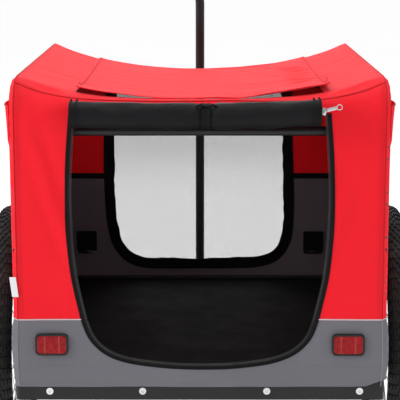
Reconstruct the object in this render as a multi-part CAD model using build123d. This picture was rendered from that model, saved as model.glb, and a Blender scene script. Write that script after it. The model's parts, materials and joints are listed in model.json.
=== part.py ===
"""Two-wheeled bicycle trailer: a folding steel frame on a flat floor, with a zipped cloth cabin.

Frame of the model: +Y is the way the trailer travels, +X its right-hand side, +Z up.
The origin lies on the ground at the middle of the trailer's footprint. Millimetres throughout.
Everything is drawn about the middle of the cabin, and moved by CABIN_Y as it is written out.
"""
from build123d import *
import math
import os

# ---------------------------------------------------------------- floor frame
FLOOR_WIDTH = 624.0          # over the side rails
FLOOR_LENGTH = 740.0         # over the end rails
RAIL_WIDTH = 25.0
RAIL_HEIGHT = 30.0
RAIL_WALL = 1.5
CORNER_SIZE = 30.0           # moulded corner fitting, in plan
CORNER_RADIUS = 8.0
SPIGOT_LENGTH = 22.0
BOARD_THICKNESS = 6.0
BEARER_WIDTH = 25.0
BEARER_HEIGHT = 12.0
BEARER_SPREAD = 400.0        # between the two floor bearers
MAT_THICKNESS = 8.0
MAT_MARGIN = 6.0             # mat's edge inside the board's edge
MAT_CORNER = 25.0

# ---------------------------------------------------------------- wheels
WHEEL_RADIUS = 247.0         # 20 inch wheel with a 47-406 tyre
TYRE_WIDTH = 46.0
TYRE_WALL = 5.0
TUBE_WALL = 1.5
BEAD_SLOT = 8.0              # half the opening between the tyre's beads
RIM_WIDTH = 28.0
RIM_WALL = 2.0
RIM_UNDER = 39.0             # rim's edge under the tread
RIM_CHANNEL = 8.0            # channel that holds the tyre
RIM_DEPTH = 24.0             # rim's edge to the face that the spokes reach
RIM_BACK_HALF = 8.0
SPOKES_PER_SIDE = 14
SPOKE_RADIUS = 1.0
SPOKE_SPREAD = 2.5           # half the zigzag of the spokes at the rim
SPOKE_CLEAR = 1.1            # an outer spoke's elbow off its flange, which it leans back over
CROSSED_SPOKES = 2
FLANGE_RADIUS = 29.0
FLANGE_CIRCLE = 25.0         # radius of the spoke holes' circle
FLANGE_THICKNESS = 3.0
FLANGE_X = 24.0              # flange's middle, from the wheel's middle plane
HUB_HALF = 30.0
HUB_RADIUS = 14.0
HUB_END_RADIUS = 16.0
HUB_BORE = 8.0
BEARING_RADIUS = 12.0
BEARING_WIDTH = 6.0
AXLE_RADIUS = 6.0
AXLE_HEAD_RADIUS = 10.0
AXLE_HEAD = 6.0
AXLE_COLLAR_RADIUS = 9.0
WHEEL_SPACE = 6.0            # between the axle sleeve's end and the hub
SLEEVE_RADIUS = 10.0
SLEEVE_OUT = 10.0            # how far the axle sleeve stands out of the rail
AXLE_BACK = 20.0             # axle's distance behind the middle of the cabin
BUTTON_RADIUS = 4.2
BUTTON_LENGTH = 9.5
BUTTON_PROUD = 3.5
BUTTON_TRAVEL = 3.2
BUTTON_STEM_RADIUS = 2.8
BUTTON_STEM = 88.0

# ---------------------------------------------------------------- folding side frames
FRAME_TUBE = 9.5             # radius
FRAME_WALL = 1.5
FRAME_TOP = 775.0            # top of the side frames above the ground
FRAME_BEND = 45.0
FOLDED_GAP = 8.0             # between the two hoops' tops when they lie folded
HINGE_PIN = 4.0
HINGE_GAP = 16.0             # hinge pin to the ends of the tubes
TONGUE_HALF = 5.7
CHEEK = 3.5                  # a fork's wall, on the stand and beside a hinge's tongue
PEG = 20.0                   # corner fitting's peg inside a post

# ---------------------------------------------------------------- removable cross bars
BAR_RADIUS = 8.0
BAR_WALL = 1.2
BAR_UNDER = 87.0             # bar's axis below the top of the side frames
BAR_BEHIND = 22.5            # bar's axis inside the uprights' axis
BAR_END_LOW = 12.0           # end block, below and above the bar's axis
BAR_END_HIGH = 20.0
BAR_END_WIDTH = 21.5
BAR_END_WALL = 3.0           # block's wall in front of the bar
BAR_WRAP = 6.0               # block's saddle stops this far short of the upright's axis
BAR_SOCKET = 10.0
LOCK_PIN = 3.0
LOCK_PIN_UP = 14.0
LOCK_KNOB = 6.0

# ---------------------------------------------------------------- tow arm and hitch
ARM_RADIUS = 9.5
ARM_WALL = 1.5
ARM_PIVOT_OUT = 32.0         # pivot in front of the floor frame
ARM_PIVOT_DOWN = 7.0         # pivot below the rails' axis
ARM_TAIL = 18.0              # tube below the pivot
ARM_STRAIGHT = 645.0         # pivot to the first corner
ARM_JOG = 90.0               # offset to the left, and its rise
ARM_LAST = 55.0
ARM_BEND = 75.0
TOW_PIN = 5.0
TOW_PIN_HEAD = 9.0
EAR_THICKNESS = 4.0
EAR_RADIUS = 12.0
EAR_GAP = 0.5
PLATE_HALF = 30.0
PLATE_HEIGHT = 28.0
HITCH_PIN = 4.0
HITCH_COLLAR = 11.0
HITCH_COLLAR_HEIGHT = 8.0
HITCH_PLUG = 20.0
HITCH_HALF = 8.0             # half the hitch head's width across the arm
HITCH_DEPTH = 6.0            # and along the yaw pin
YAW_UP = 22.0                # yaw pin above the collar's foot
PITCH_UP = 30.0              # pitch pin above the yaw pin
AXLE_PLATE = 5.0             # plate that goes on the bicycle's axle
AXLE_PLATE_HALF = 12.0
AXLE_BORE = 5.25             # radius, for a 10 mm bicycle axle
AXLE_BORE_UP = 28.0

# ---------------------------------------------------------------- parking stand
STAND_HALF = 150.0
STAND_TUBE = 8.0
STAND_WALL = 1.2
STAND_PIVOT_DOWN = 18.0      # pivot below the rail
STAND_RAKE = 28.0            # how far the foot stands in front of the pivot
STAND_BEND = 40.0
STAND_PIN = 4.0
STAND_TOP = 10.0
FOOT_LENGTH = 50.0
FOOT_DEPTH = 28.0
FOOT_HEIGHT = 30.0
FOOT_X = 75.0
FOOT_SOLE = 8.0              # rubber under the bar

# ---------------------------------------------------------------- cloth
CLOTH = 2.0
MESH_CLOTH = 1.2
ROOF_SAG = 40.0
ROOF_FLAT = 10.0             # roof stays flat this far inside the tube's axis
HEM_BELOW = 7.0              # hem below the rails' top
SKIRT_REAR_UP = 118.0        # skirt's seam above the hem at the back
SKIRT_FRONT_UNDER = 285.0    # skirt's seam below the top of the side frames at the front
DOOR_MARGIN = 91.0           # side of the doorway to the side of the cabin, at the widest
DOOR_TOP_UNDER = 53.0        # doorway's top below the top of the side frames
DOOR_TOP_IN = 8.0            # how much narrower the doorway is at its top, and at the seam
DOOR_SEAM_IN = 23.0
DOOR_LOW_UP = 35.0           # doorway's foot above the hem
DOOR_SHOULDER_UP = 61.0
DOOR_SHOULDER_IN = 61.0
ZIP_WIDTH = 9.0
WINDOW_MARGIN = 127.0        # side of the front window to the side of the cabin
WINDOW_UNDER = 55.0          # front window below the top of the side frames
WINDOW_UP = 43.0             # and above the hem
WINDOW_RADIUS = 85.0
SIDE_WINDOW_UNDER = 70.0     # side window below the top of the side frames
SIDE_WINDOW_HEIGHT = 200.0
SIDE_WINDOW_MARGIN = 95.0
SIDE_WINDOW_RADIUS = 45.0
HATCH_MARGIN = 117.0         # side of the roof hatch to the side of the cabin
HATCH_END = 45.0
COVER_OVER = 18.0            # roof cover past the hatch's sides
COVER_REAR = 55.0            # roof cover's loose edge in front of the back wall
ROLL_RADIUS = 23.5
ROLL_BELOW = 14.5            # roll's axis below the top of the cabin's back, in the middle
ROLL_SHORT = 4.0             # roll's end inside the doorway's side
REFLECTOR_X = 63.0           # reflector's middle to the side of the cabin
REFLECTOR_UP = 76.0          # reflector's middle above the hem
REFLECTOR_WIDTH = 55.0
REFLECTOR_HEIGHT = 37.0
REFLECTOR_DEPTH = 7.0
FRONT_REFLECTOR = 44.0

# ---------------------------------------------------------------- screws
SCREW_INNER = 105.0
SCREW_EDGE = 50.0            # outer screw inside the side of the cabin
SCREW_SHIFT = 8.0
SCREW_HEAD = 6.0
SCREW_HEAD_THICKNESS = 2.5
SCREW_SHANK = 2.0
SCREW_LENGTH = 12.0
SCREW_UP = 1.0               # screws above the rails' axis
SOCKET_RADIUS = 2.2
BOLT_RADIUS = 3.0
BOLT_HEAD = 5.0
BOLT_HEAD_THICKNESS = 3.5
BOLT_X = 22.0

# ---------------------------------------------------------------- clearances
SEAT = 0.3                   # between a piece and what it rests on
RUNNING = 0.05               # radial, a shaft in its hole
PRESSED = 0.02               # radial, a bearing in its seat

# ---------------------------------------------------------------- places worked out from them
HALF_WIDTH = FLOOR_WIDTH / 2
HALF_LENGTH = FLOOR_LENGTH / 2
RAIL_Z = WHEEL_RADIUS
RAIL_TOP = RAIL_Z + RAIL_HEIGHT / 2
RAIL_FOOT = RAIL_Z - RAIL_HEIGHT / 2
RAIL_X = HALF_WIDTH - RAIL_WIDTH / 2
RAIL_Y = HALF_LENGTH - RAIL_WIDTH / 2
BOARD_TOP = RAIL_FOOT + BEARER_HEIGHT + BOARD_THICKNESS + SEAT
UPRIGHT_X = HALF_WIDTH - FRAME_TUBE
UPRIGHT_Y = HALF_LENGTH - FRAME_TUBE
HOOP_REACH = UPRIGHT_X - FRAME_TUBE - FOLDED_GAP / 2
HINGE_Z = FRAME_TOP - FRAME_TUBE - HOOP_REACH
PIN_HALF = math.sqrt(FRAME_TUBE ** 2 - HINGE_PIN ** 2) - SEAT
BAR_Y = UPRIGHT_Y - BAR_BEHIND
BAR_HEIGHT = FRAME_TOP - BAR_UNDER
WHEEL_X = HALF_WIDTH + SLEEVE_OUT + WHEEL_SPACE + HUB_HALF
TYRE_CENTRE = WHEEL_RADIUS - TYRE_WIDTH / 2
RIM_TOP = WHEEL_RADIUS - RIM_UNDER
RIM_FLOOR = RIM_TOP - RIM_CHANNEL
RIM_BACK = RIM_TOP - RIM_DEPTH
ARM_Y = HALF_LENGTH + ARM_PIVOT_OUT
ARM_Z = RAIL_Z - ARM_PIVOT_DOWN
ARM_END = ARM_Z + ARM_STRAIGHT + ARM_JOG + ARM_LAST
YAW_Z = ARM_END + YAW_UP
PITCH_Z = YAW_Z + PITCH_UP
AXLE_BORE_Z = PITCH_Z + AXLE_BORE_UP
STAND_Y = RAIL_Y
STAND_Z = RAIL_FOOT - STAND_PIVOT_DOWN
STAND_BAR_Z = FOOT_SOLE + STAND_TUBE
CLOTH_IN = SEAT
CLOTH_OUT = SEAT + CLOTH
HEM = RAIL_TOP - HEM_BELOW
SKIRT_REAR = HEM + SKIRT_REAR_UP
SKIRT_FRONT = FRAME_TOP - SKIRT_FRONT_UNDER
DOOR_HALF = HALF_WIDTH - DOOR_MARGIN
DOOR_TOP = FRAME_TOP - DOOR_TOP_UNDER
DOOR_LOW = HEM + DOOR_LOW_UP
DOOR_SHOULDER = HEM + DOOR_SHOULDER_UP
WINDOW_TOP = FRAME_TOP - WINDOW_UNDER
WINDOW_LOW = HEM + WINDOW_UP
SIDE_WINDOW_TOP = FRAME_TOP - SIDE_WINDOW_UNDER
SIDE_WINDOW_LOW = SIDE_WINDOW_TOP - SIDE_WINDOW_HEIGHT
SCREW_OUTER = HALF_WIDTH - SCREW_EDGE
ROOF_LOW = FRAME_TOP + SEAT - ROOF_SAG
ROLL_Z = ROOF_LOW - ROLL_BELOW
ROLL_Y = -(HALF_LENGTH + CLOTH_OUT + SEAT + ROLL_RADIUS)
REAR_REACH = ROLL_RADIUS - ROLL_Y
FRONT_REACH = ARM_Y + EAR_RADIUS
CABIN_Y = (REAR_REACH - FRONT_REACH) / 2

SIDES = {"left": -1, "right": 1}


# ---------------------------------------------------------------- small helpers
def block(x0, x1, y0, y1, z0, z1):
    """A box between two corners."""
    middle = Pos((x0 + x1) / 2, (y0 + y1) / 2, (z0 + z1) / 2)
    return middle * Box(abs(x1 - x0), abs(y1 - y0), abs(z1 - z0))


def rod(start, end, radius):
    """A round rod from one point to another."""
    along = Vector(*end) - Vector(*start)
    return Solid.make_cylinder(radius, along.length, Plane(origin=start, z_dir=along.normalized()))


def bent_tube(points, radius, wall, bend):
    """A round tube along straight runs joined by bends of one radius."""
    path = FilletPolyline(*points, radius=bend)
    section = Plane(origin=path @ 0, z_dir=path % 0) * (Circle(radius) - Circle(radius - wall))
    return sweep(section, path=path)


def in_back_plane(sketch, y0, y1):
    """A flat outline in X and Z, given its thickness between two Y values."""
    plane = Plane(origin=(0, y0, 0), x_dir=(1, 0, 0), z_dir=(0, -1, 0))
    return extrude(plane * sketch, amount=-(y1 - y0))


def in_side_plane(sketch, x0, x1):
    """A flat outline in Y and Z, given its thickness between two X values."""
    plane = Plane(origin=(x0, 0, 0), x_dir=(0, 1, 0), z_dir=(1, 0, 0))
    return extrude(plane * sketch, amount=x1 - x0)


def ring_about_x(sketch, x, y, z):
    """A section in (X, radius), turned once about an axis along X through the point."""
    section = Plane(origin=(0, 0, 0), x_dir=(1, 0, 0), z_dir=(0, -1, 0)) * sketch
    return Pos(x, y, z) * revolve(section, axis=Axis.X)


def section_ring(x0, x1, r0, r1):
    """Rectangle of a turned section."""
    return Pos((x0 + x1) / 2, (r0 + r1) / 2) * Rectangle(x1 - x0, r1 - r0)


def together(*solids):
    """Several separate solids in one node."""
    return Compound([s for shape in solids for s in shape.solids()])


# ---------------------------------------------------------------- floor frame
def hollow_rail(length):
    """Rectangular tube along Y, about the origin."""
    bore = Box(RAIL_WIDTH - 2 * RAIL_WALL, length + 2, RAIL_HEIGHT - 2 * RAIL_WALL)
    return Box(RAIL_WIDTH, length, RAIL_HEIGHT) - bore


def side_rail(side):
    """Side rail with the welded sleeve that takes the wheel's axle."""
    rail = Pos(side * RAIL_X, 0, RAIL_Z) * hollow_rail(FLOOR_LENGTH - 2 * CORNER_SIZE)
    inner = side * (HALF_WIDTH - RAIL_WIDTH)
    outer = side * (HALF_WIDTH + SLEEVE_OUT)
    sleeve = rod((inner, -AXLE_BACK, RAIL_Z), (outer, -AXLE_BACK, RAIL_Z), SLEEVE_RADIUS)
    bore = rod((inner - side, -AXLE_BACK, RAIL_Z), (outer + side, -AXLE_BACK, RAIL_Z), AXLE_RADIUS + RUNNING)
    return rail + sleeve - bore


def screw_places():
    """X of the four screws in an end rail."""
    return [SCREW_SHIFT + x for x in (-SCREW_OUTER, -SCREW_INNER, SCREW_INNER, SCREW_OUTER)]


def end_rail(end):
    """Front or rear rail, with the holes for its screws and, in front, for the tow bracket."""
    rail = Pos(0, end * RAIL_Y, RAIL_Z) * Rot(0, 0, 90) * hollow_rail(FLOOR_WIDTH - 2 * CORNER_SIZE)
    face = end * HALF_LENGTH
    back = face - end * 2 * RAIL_WALL
    for x in screw_places():
        z = RAIL_Z + SCREW_UP
        rail -= rod((x, face + end, z), (x, back, z), SCREW_SHANK + RUNNING)
    if end > 0:
        for x in (-BOLT_X, BOLT_X):
            rail -= rod((x, face + end, ARM_Z), (x, back, ARM_Z), BOLT_RADIUS + RUNNING)
    return rail


def corner_fitting(side, end):
    """Moulded corner: a block, a spigot into each rail and a peg for the post."""
    inner_x = side * (HALF_WIDTH - CORNER_SIZE)
    inner_y = end * (HALF_LENGTH - CORNER_SIZE)
    body = block(inner_x, side * HALF_WIDTH, inner_y, end * HALF_LENGTH, RAIL_FOOT, RAIL_TOP)
    upright_edges = body.edges().filter_by(Axis.Z)
    outermost = upright_edges.sort_by(lambda e: -side * e.center().X - end * e.center().Y)[0]
    body = fillet(outermost, CORNER_RADIUS)
    thick = RAIL_WIDTH - 2 * RAIL_WALL - 2 * SEAT
    high = RAIL_HEIGHT - 2 * RAIL_WALL - 2 * SEAT
    body += Pos(side * RAIL_X, inner_y - end * SPIGOT_LENGTH / 2, RAIL_Z) * Box(thick, SPIGOT_LENGTH, high)
    body += Pos(inner_x - side * SPIGOT_LENGTH / 2, end * RAIL_Y, RAIL_Z) * Box(SPIGOT_LENGTH, thick, high)
    x, y = side * UPRIGHT_X, end * UPRIGHT_Y
    body += rod((x, y, RAIL_TOP - 1), (x, y, RAIL_TOP + PEG), FRAME_TUBE - FRAME_WALL - SEAT)
    face, z = end * HALF_LENGTH, RAIL_Z + SCREW_UP
    for screw_x in screw_places():
        body -= rod((screw_x, face, z), (screw_x, face - end * SCREW_LENGTH, z), SCREW_SHANK + RUNNING)
    return body


def corner_post(side, end):
    """Fixed tube on a corner fitting, with the fork that its side hoop hinges in."""
    x, y = side * UPRIGHT_X, end * UPRIGHT_Y
    shoulder = HINGE_Z - HINGE_GAP
    post = rod((x, y, RAIL_TOP), (x, y, HINGE_Z), FRAME_TUBE)
    crown = rod((x, y, HINGE_Z - 1), (x, y, HINGE_Z + FRAME_TUBE), FRAME_TUBE)
    post += crown & rod((x, y - FRAME_TUBE, HINGE_Z), (x, y + FRAME_TUBE, HINGE_Z), FRAME_TUBE)
    post -= rod((x, y, RAIL_TOP - 1), (x, y, shoulder), FRAME_TUBE - FRAME_WALL)
    slot = TONGUE_HALF + SEAT
    post -= block(x - 20, x + 20, y - slot, y + slot, HINGE_Z - FRAME_TUBE - 1.5, HINGE_Z + 20)
    return post - rod((x, y - 20, HINGE_Z), (x, y + 20, HINGE_Z), HINGE_PIN + PRESSED)


def hinge_pin(side, end):
    """Pin of a hoop's hinge, flush with the post so that the cross bars' saddles pass it."""
    x, y = side * UPRIGHT_X, end * UPRIGHT_Y
    return rod((x, y - PIN_HALF, HINGE_Z), (x, y + PIN_HALF, HINGE_Z), HINGE_PIN)


def floor_board():
    half_x = HALF_WIDTH - RAIL_WIDTH - SEAT
    half_y = HALF_LENGTH - RAIL_WIDTH - SEAT
    board = block(-half_x, half_x, -half_y, half_y, BOARD_TOP - BOARD_THICKNESS, BOARD_TOP)
    notch = CORNER_SIZE - RAIL_WIDTH + SEAT
    for side in (-1, 1):
        for end in (-1, 1):
            board -= block(side * (half_x - notch), side * (half_x + 1),
                           end * (half_y - notch), end * (half_y + 1), RAIL_FOOT, RAIL_TOP)
    return board


def floor_mat():
    half_x = HALF_WIDTH - RAIL_WIDTH - SEAT - MAT_MARGIN
    half_y = HALF_LENGTH - RAIL_WIDTH - SEAT - MAT_MARGIN
    outline = RectangleRounded(2 * half_x, 2 * half_y, MAT_CORNER)
    return extrude(Plane.XY.offset(BOARD_TOP + SEAT) * outline, amount=MAT_THICKNESS)


def floor_bearer(end):
    y = end * BEARER_SPREAD / 2
    half = HALF_WIDTH - RAIL_WIDTH
    return block(-half, half, y - BEARER_WIDTH / 2, y + BEARER_WIDTH / 2, RAIL_FOOT, RAIL_FOOT + BEARER_HEIGHT)


def round_screw(x, face, z, end, head, head_thickness, shank, length):
    """A round-headed screw driven into a face that looks along end * Y."""
    screw = rod((x, face, z), (x, face + end * head_thickness, z), head)
    screw += rod((x, face, z), (x, face - end * length, z), shank)
    return screw - rod((x, face + end * head_thickness, z), (x, face + end, z), SOCKET_RADIUS)


def cover_screws():
    """Screws along the end rails, which hold the floor cloth's edge."""
    return together(*[
        round_screw(x, end * HALF_LENGTH, RAIL_Z + SCREW_UP, end,
                    SCREW_HEAD, SCREW_HEAD_THICKNESS, SCREW_SHANK, SCREW_LENGTH)
        for end in (-1, 1) for x in screw_places()
    ])


# ---------------------------------------------------------------- wheels
def tyre(side):
    """Hollow tyre, open between its beads."""
    radius = TYRE_WIDTH / 2
    section = Pos(0, TYRE_CENTRE) * (Circle(radius) - Circle(radius - TYRE_WALL))
    section -= section_ring(-BEAD_SLOT, BEAD_SLOT, TYRE_CENTRE - radius - 1, TYRE_CENTRE)
    beside_rim = RIM_WIDTH / 2 - RIM_WALL - SEAT
    for hand in (-1, 1):
        outside = sorted((hand * beside_rim, hand * TYRE_WIDTH))
        section -= section_ring(*outside, RIM_FLOOR - 5, RIM_TOP + SEAT)
    return ring_about_x(section, side * WHEEL_X, -AXLE_BACK, RAIL_Z)


def inner_tube(side):
    radius = TYRE_WIDTH / 2 - TYRE_WALL - SEAT
    section = Pos(0, TYRE_CENTRE) * (Circle(radius) - Circle(radius - TUBE_WALL))
    return ring_about_x(section, side * WHEEL_X, -AXLE_BACK, RAIL_Z)


def rim(side):
    """Box-section rim with a channel for the tyre."""
    half = RIM_WIDTH / 2
    shoulder = RIM_BACK + RIM_BACK_HALF
    outline = [(-half, RIM_TOP), (-half, shoulder), (-RIM_BACK_HALF, RIM_BACK), (RIM_BACK_HALF, RIM_BACK),
               (half, shoulder), (half, RIM_TOP), (half - RIM_WALL, RIM_TOP), (half - RIM_WALL, RIM_FLOOR),
               (RIM_WALL - half, RIM_FLOOR), (RIM_WALL - half, RIM_TOP)]
    section = make_face(Polyline(*outline, close=True))
    hollow = [(RIM_WALL - half, RIM_FLOOR - RIM_WALL), (RIM_WALL - half, shoulder + RIM_WALL / 2),
              (-RIM_BACK_HALF + RIM_WALL / 2, RIM_BACK + RIM_WALL),
              (RIM_BACK_HALF - RIM_WALL / 2, RIM_BACK + RIM_WALL),
              (half - RIM_WALL, shoulder + RIM_WALL / 2), (half - RIM_WALL, RIM_FLOOR - RIM_WALL)]
    section -= make_face(Polyline(*hollow, close=True))
    return ring_about_x(section, side * WHEEL_X, -AXLE_BACK, RAIL_Z)


def on_wheel(side, x, radius, degrees):
    """A point on a wheel, from its middle plane, its radius and its angle."""
    angle = math.radians(degrees)
    return (side * WHEEL_X + x, -AXLE_BACK + radius * math.cos(angle), RAIL_Z + radius * math.sin(angle))


def spokes(side):
    """Crossed wire spokes, half of them outside each flange and half inside."""
    outside = FLANGE_X + FLANGE_THICKNESS / 2 + SPOKE_RADIUS + SPOKE_CLEAR
    inside = FLANGE_X - FLANGE_THICKNESS / 2 - SPOKE_RADIUS - SEAT
    pitch = 360.0 / SPOKES_PER_SIDE
    swing = CROSSED_SPOKES * pitch
    made = []
    for hand in (-1, 1):
        turn = 0 if hand < 0 else pitch / 2
        for n in range(SPOKES_PER_SIDE):
            leading = n % 2 == 0
            flange_x = hand * (outside if leading else inside)
            start = turn + n * pitch
            end = start + (swing if leading else -swing)
            made.append(rod(on_wheel(side, flange_x, FLANGE_CIRCLE, start),
                            on_wheel(side, hand * SPOKE_SPREAD, RIM_BACK - SEAT, end), SPOKE_RADIUS))
    return together(*made)


def hub(side):
    half_flange = FLANGE_THICKNESS / 2
    seat = HUB_HALF - BEARING_WIDTH
    section = section_ring(-HUB_HALF, HUB_HALF, HUB_BORE, HUB_RADIUS)
    for hand in (-1, 1):
        flange = sorted((hand * FLANGE_X - half_flange, hand * FLANGE_X + half_flange))
        section += section_ring(*flange, HUB_BORE, FLANGE_RADIUS)
        section += section_ring(*sorted((hand * (FLANGE_X - half_flange), hand * HUB_HALF)), HUB_BORE, HUB_END_RADIUS)
    for hand in (-1, 1):
        section -= section_ring(*sorted((hand * (seat - SEAT), hand * (HUB_HALF + 1))), 0, BEARING_RADIUS)
    return ring_about_x(section, side * WHEEL_X, -AXLE_BACK, RAIL_Z)


def bearings(side):
    made = []
    for hand in (-1, 1):
        span = sorted((hand * (HUB_HALF - BEARING_WIDTH), hand * HUB_HALF))
        ring = section_ring(*span, AXLE_RADIUS + RUNNING, BEARING_RADIUS - PRESSED)
        made.append(ring_about_x(ring, side * WHEEL_X, -AXLE_BACK, RAIL_Z))
    return together(*made)


def axle(side):
    """Stub axle with a collar inside the hub, a head outside it and a bore for its button."""
    tip = HALF_WIDTH - RAIL_WIDTH + SEAT
    collar = HALF_WIDTH + SLEEVE_OUT + SEAT
    head = WHEEL_X + HUB_HALF + SEAT
    end = head + AXLE_HEAD
    section = section_ring(tip, end, 0, AXLE_RADIUS)
    section += section_ring(collar, WHEEL_X - HUB_HALF - SEAT, 0, AXLE_COLLAR_RADIUS)
    section += section_ring(head, end, 0, AXLE_HEAD_RADIUS)
    recess = end + BUTTON_PROUD - BUTTON_LENGTH - BUTTON_TRAVEL - 2 * SEAT
    section -= section_ring(recess, end + 1, 0, BUTTON_RADIUS + SEAT)
    stem = end + BUTTON_PROUD - BUTTON_LENGTH - BUTTON_STEM - BUTTON_TRAVEL - 2 * SEAT
    section -= section_ring(stem, end + 1, 0, BUTTON_STEM_RADIUS + SEAT)
    turned = ring_about_x(section, 0, -AXLE_BACK, RAIL_Z)
    return turned if side > 0 else mirror(turned, about=Plane.YZ)


def axle_button(side):
    """Push button that releases the wheel, with its stem."""
    end = WHEEL_X + HUB_HALF + SEAT + AXLE_HEAD + BUTTON_PROUD
    neck = end - BUTTON_LENGTH
    section = section_ring(neck, end, 0, BUTTON_RADIUS) + section_ring(neck - BUTTON_STEM, neck, 0, BUTTON_STEM_RADIUS)
    turned = ring_about_x(section, 0, -AXLE_BACK, RAIL_Z)
    return turned if side > 0 else mirror(turned, about=Plane.YZ)


# ---------------------------------------------------------------- folding side frames and cross bars
def side_frame(side):
    """Bent hoop with a tongue at each foot, and a hole in each upright for a lock pin."""
    x = side * UPRIGHT_X
    foot = HINGE_Z + HINGE_GAP
    top = FRAME_TOP - FRAME_TUBE
    path = [(x, -UPRIGHT_Y, foot), (x, -UPRIGHT_Y, top), (x, UPRIGHT_Y, top), (x, UPRIGHT_Y, foot)]
    frame = bent_tube(path, FRAME_TUBE, FRAME_WALL, FRAME_BEND)
    for end in (-1, 1):
        y = end * UPRIGHT_Y
        frame += rod((x, y, foot), (x, y, foot + 4), FRAME_TUBE)
        half = FRAME_TUBE - SEAT
        tongue = rod((x, y - TONGUE_HALF, HINGE_Z), (x, y + TONGUE_HALF, HINGE_Z), half)
        tongue += block(x - half, x + half, y - TONGUE_HALF, y + TONGUE_HALF, HINGE_Z, foot + 1)
        frame += tongue - rod((x, y - 20, HINGE_Z), (x, y + 20, HINGE_Z), HINGE_PIN + RUNNING)
        z = BAR_HEIGHT + LOCK_PIN_UP
        frame -= rod((x, y, z), (x, y - end * 2 * FRAME_TUBE, z), LOCK_PIN + SEAT)
    return frame


def cross_bar(end):
    half = UPRIGHT_X - BAR_END_WIDTH / 2 + BAR_SOCKET
    tube = rod((-half, end * BAR_Y, BAR_HEIGHT), (half, end * BAR_Y, BAR_HEIGHT), BAR_RADIUS)
    bore = rod((-half - 1, end * BAR_Y, BAR_HEIGHT), (half + 1, end * BAR_Y, BAR_HEIGHT), BAR_RADIUS - BAR_WALL)
    return tube - bore


def cross_bar_end(side, end):
    """Saddle block that sits against an upright and slides down to its post."""
    outer = HALF_WIDTH - SEAT
    inner = outer - BAR_END_WIDTH
    front = BAR_Y - BAR_RADIUS - BAR_END_WALL
    body = block(side * inner, side * outer, end * (UPRIGHT_Y - BAR_WRAP), end * front,
                 BAR_HEIGHT - BAR_END_LOW, BAR_HEIGHT + BAR_END_HIGH)
    x, y, z = side * UPRIGHT_X, end * UPRIGHT_Y, BAR_HEIGHT + LOCK_PIN_UP
    body -= rod((x, y, BAR_HEIGHT - 50), (x, y, BAR_HEIGHT + 50), FRAME_TUBE + SEAT)
    reach = UPRIGHT_X - BAR_END_WIDTH / 2 + BAR_SOCKET + SEAT
    body -= rod((side * (inner - 1), end * BAR_Y, BAR_HEIGHT), (side * reach, end * BAR_Y, BAR_HEIGHT),
                BAR_RADIUS + RUNNING)
    return body - rod((x, y, z), (x, end * (front - 1), z), LOCK_PIN + RUNNING)


def lock_pin(side, end):
    """Pull pin that holds a saddle block to its hoop, with a knob inside the cabin."""
    x, y, z = side * UPRIGHT_X, end * UPRIGHT_Y, BAR_HEIGHT + LOCK_PIN_UP
    face = end * (BAR_Y - BAR_RADIUS - BAR_END_WALL - SEAT)
    pin = rod((x, y - end * (FRAME_TUBE - FRAME_WALL), z), (x, face, z), LOCK_PIN)
    return pin + rod((x, face, z), (x, face - end * LOCK_KNOB, z), 2 * LOCK_PIN)


# ---------------------------------------------------------------- tow arm and hitch
def tow_bracket():
    """Plate on the front rail with two ears for the tow pin."""
    face = HALF_LENGTH
    top = HEM - 1
    plate = block(-PLATE_HALF, PLATE_HALF, face, face + EAR_THICKNESS, top - PLATE_HEIGHT, top)
    inner = ARM_RADIUS + EAR_GAP
    outer = inner + EAR_THICKNESS
    for side in (-1, 1):
        plate += block(side * inner, side * outer, face, ARM_Y, ARM_Z - EAR_RADIUS, ARM_Z + EAR_RADIUS)
        plate += rod((side * inner, ARM_Y, ARM_Z), (side * outer, ARM_Y, ARM_Z), EAR_RADIUS)
        plate -= rod((side * BOLT_X, face - 1, ARM_Z), (side * BOLT_X, face + 9, ARM_Z), BOLT_RADIUS + RUNNING)
    return plate - rod((-PLATE_HALF, ARM_Y, ARM_Z), (PLATE_HALF, ARM_Y, ARM_Z), TOW_PIN + PRESSED)


def tow_arm():
    """Bent draw bar, drawn folded up."""
    points = [(0, ARM_Y, ARM_Z - ARM_TAIL), (0, ARM_Y, ARM_Z + ARM_STRAIGHT),
              (-ARM_JOG, ARM_Y, ARM_Z + ARM_STRAIGHT + ARM_JOG), (-ARM_JOG, ARM_Y, ARM_END)]
    arm = bent_tube(points, ARM_RADIUS, ARM_WALL, ARM_BEND)
    return arm - rod((-30, ARM_Y, ARM_Z), (30, ARM_Y, ARM_Z), TOW_PIN + RUNNING)


def tow_pin():
    """Quick-release pin that the tow arm turns on."""
    reach = ARM_RADIUS + EAR_GAP + EAR_THICKNESS
    head = -(reach + SEAT)
    pin = rod((head, ARM_Y, ARM_Z), (reach + 5, ARM_Y, ARM_Z), TOW_PIN)
    return pin + rod((head, ARM_Y, ARM_Z), (head - 5, ARM_Y, ARM_Z), TOW_PIN_HEAD)


def hitch_socket():
    """Plug in the arm's end with a fork for the yaw pin."""
    x = -ARM_JOG
    foot = ARM_END + SEAT
    top = foot + HITCH_COLLAR_HEIGHT
    body = rod((x, ARM_Y, ARM_END - HITCH_PLUG), (x, ARM_Y, foot), ARM_RADIUS - ARM_WALL - SEAT)
    body += rod((x, ARM_Y, foot), (x, ARM_Y, top), HITCH_COLLAR)
    inner = HITCH_DEPTH + SEAT
    for hand in (-1, 1):
        near, far = ARM_Y + hand * inner, ARM_Y + hand * (inner + EAR_THICKNESS)
        body += block(x - HITCH_HALF, x + HITCH_HALF, near, far, top - 1, YAW_Z)
        body += rod((x, near, YAW_Z), (x, far, YAW_Z), HITCH_HALF)
    return body - rod((x, ARM_Y - 20, YAW_Z), (x, ARM_Y + 20, YAW_Z), HITCH_PIN + PRESSED)


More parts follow.
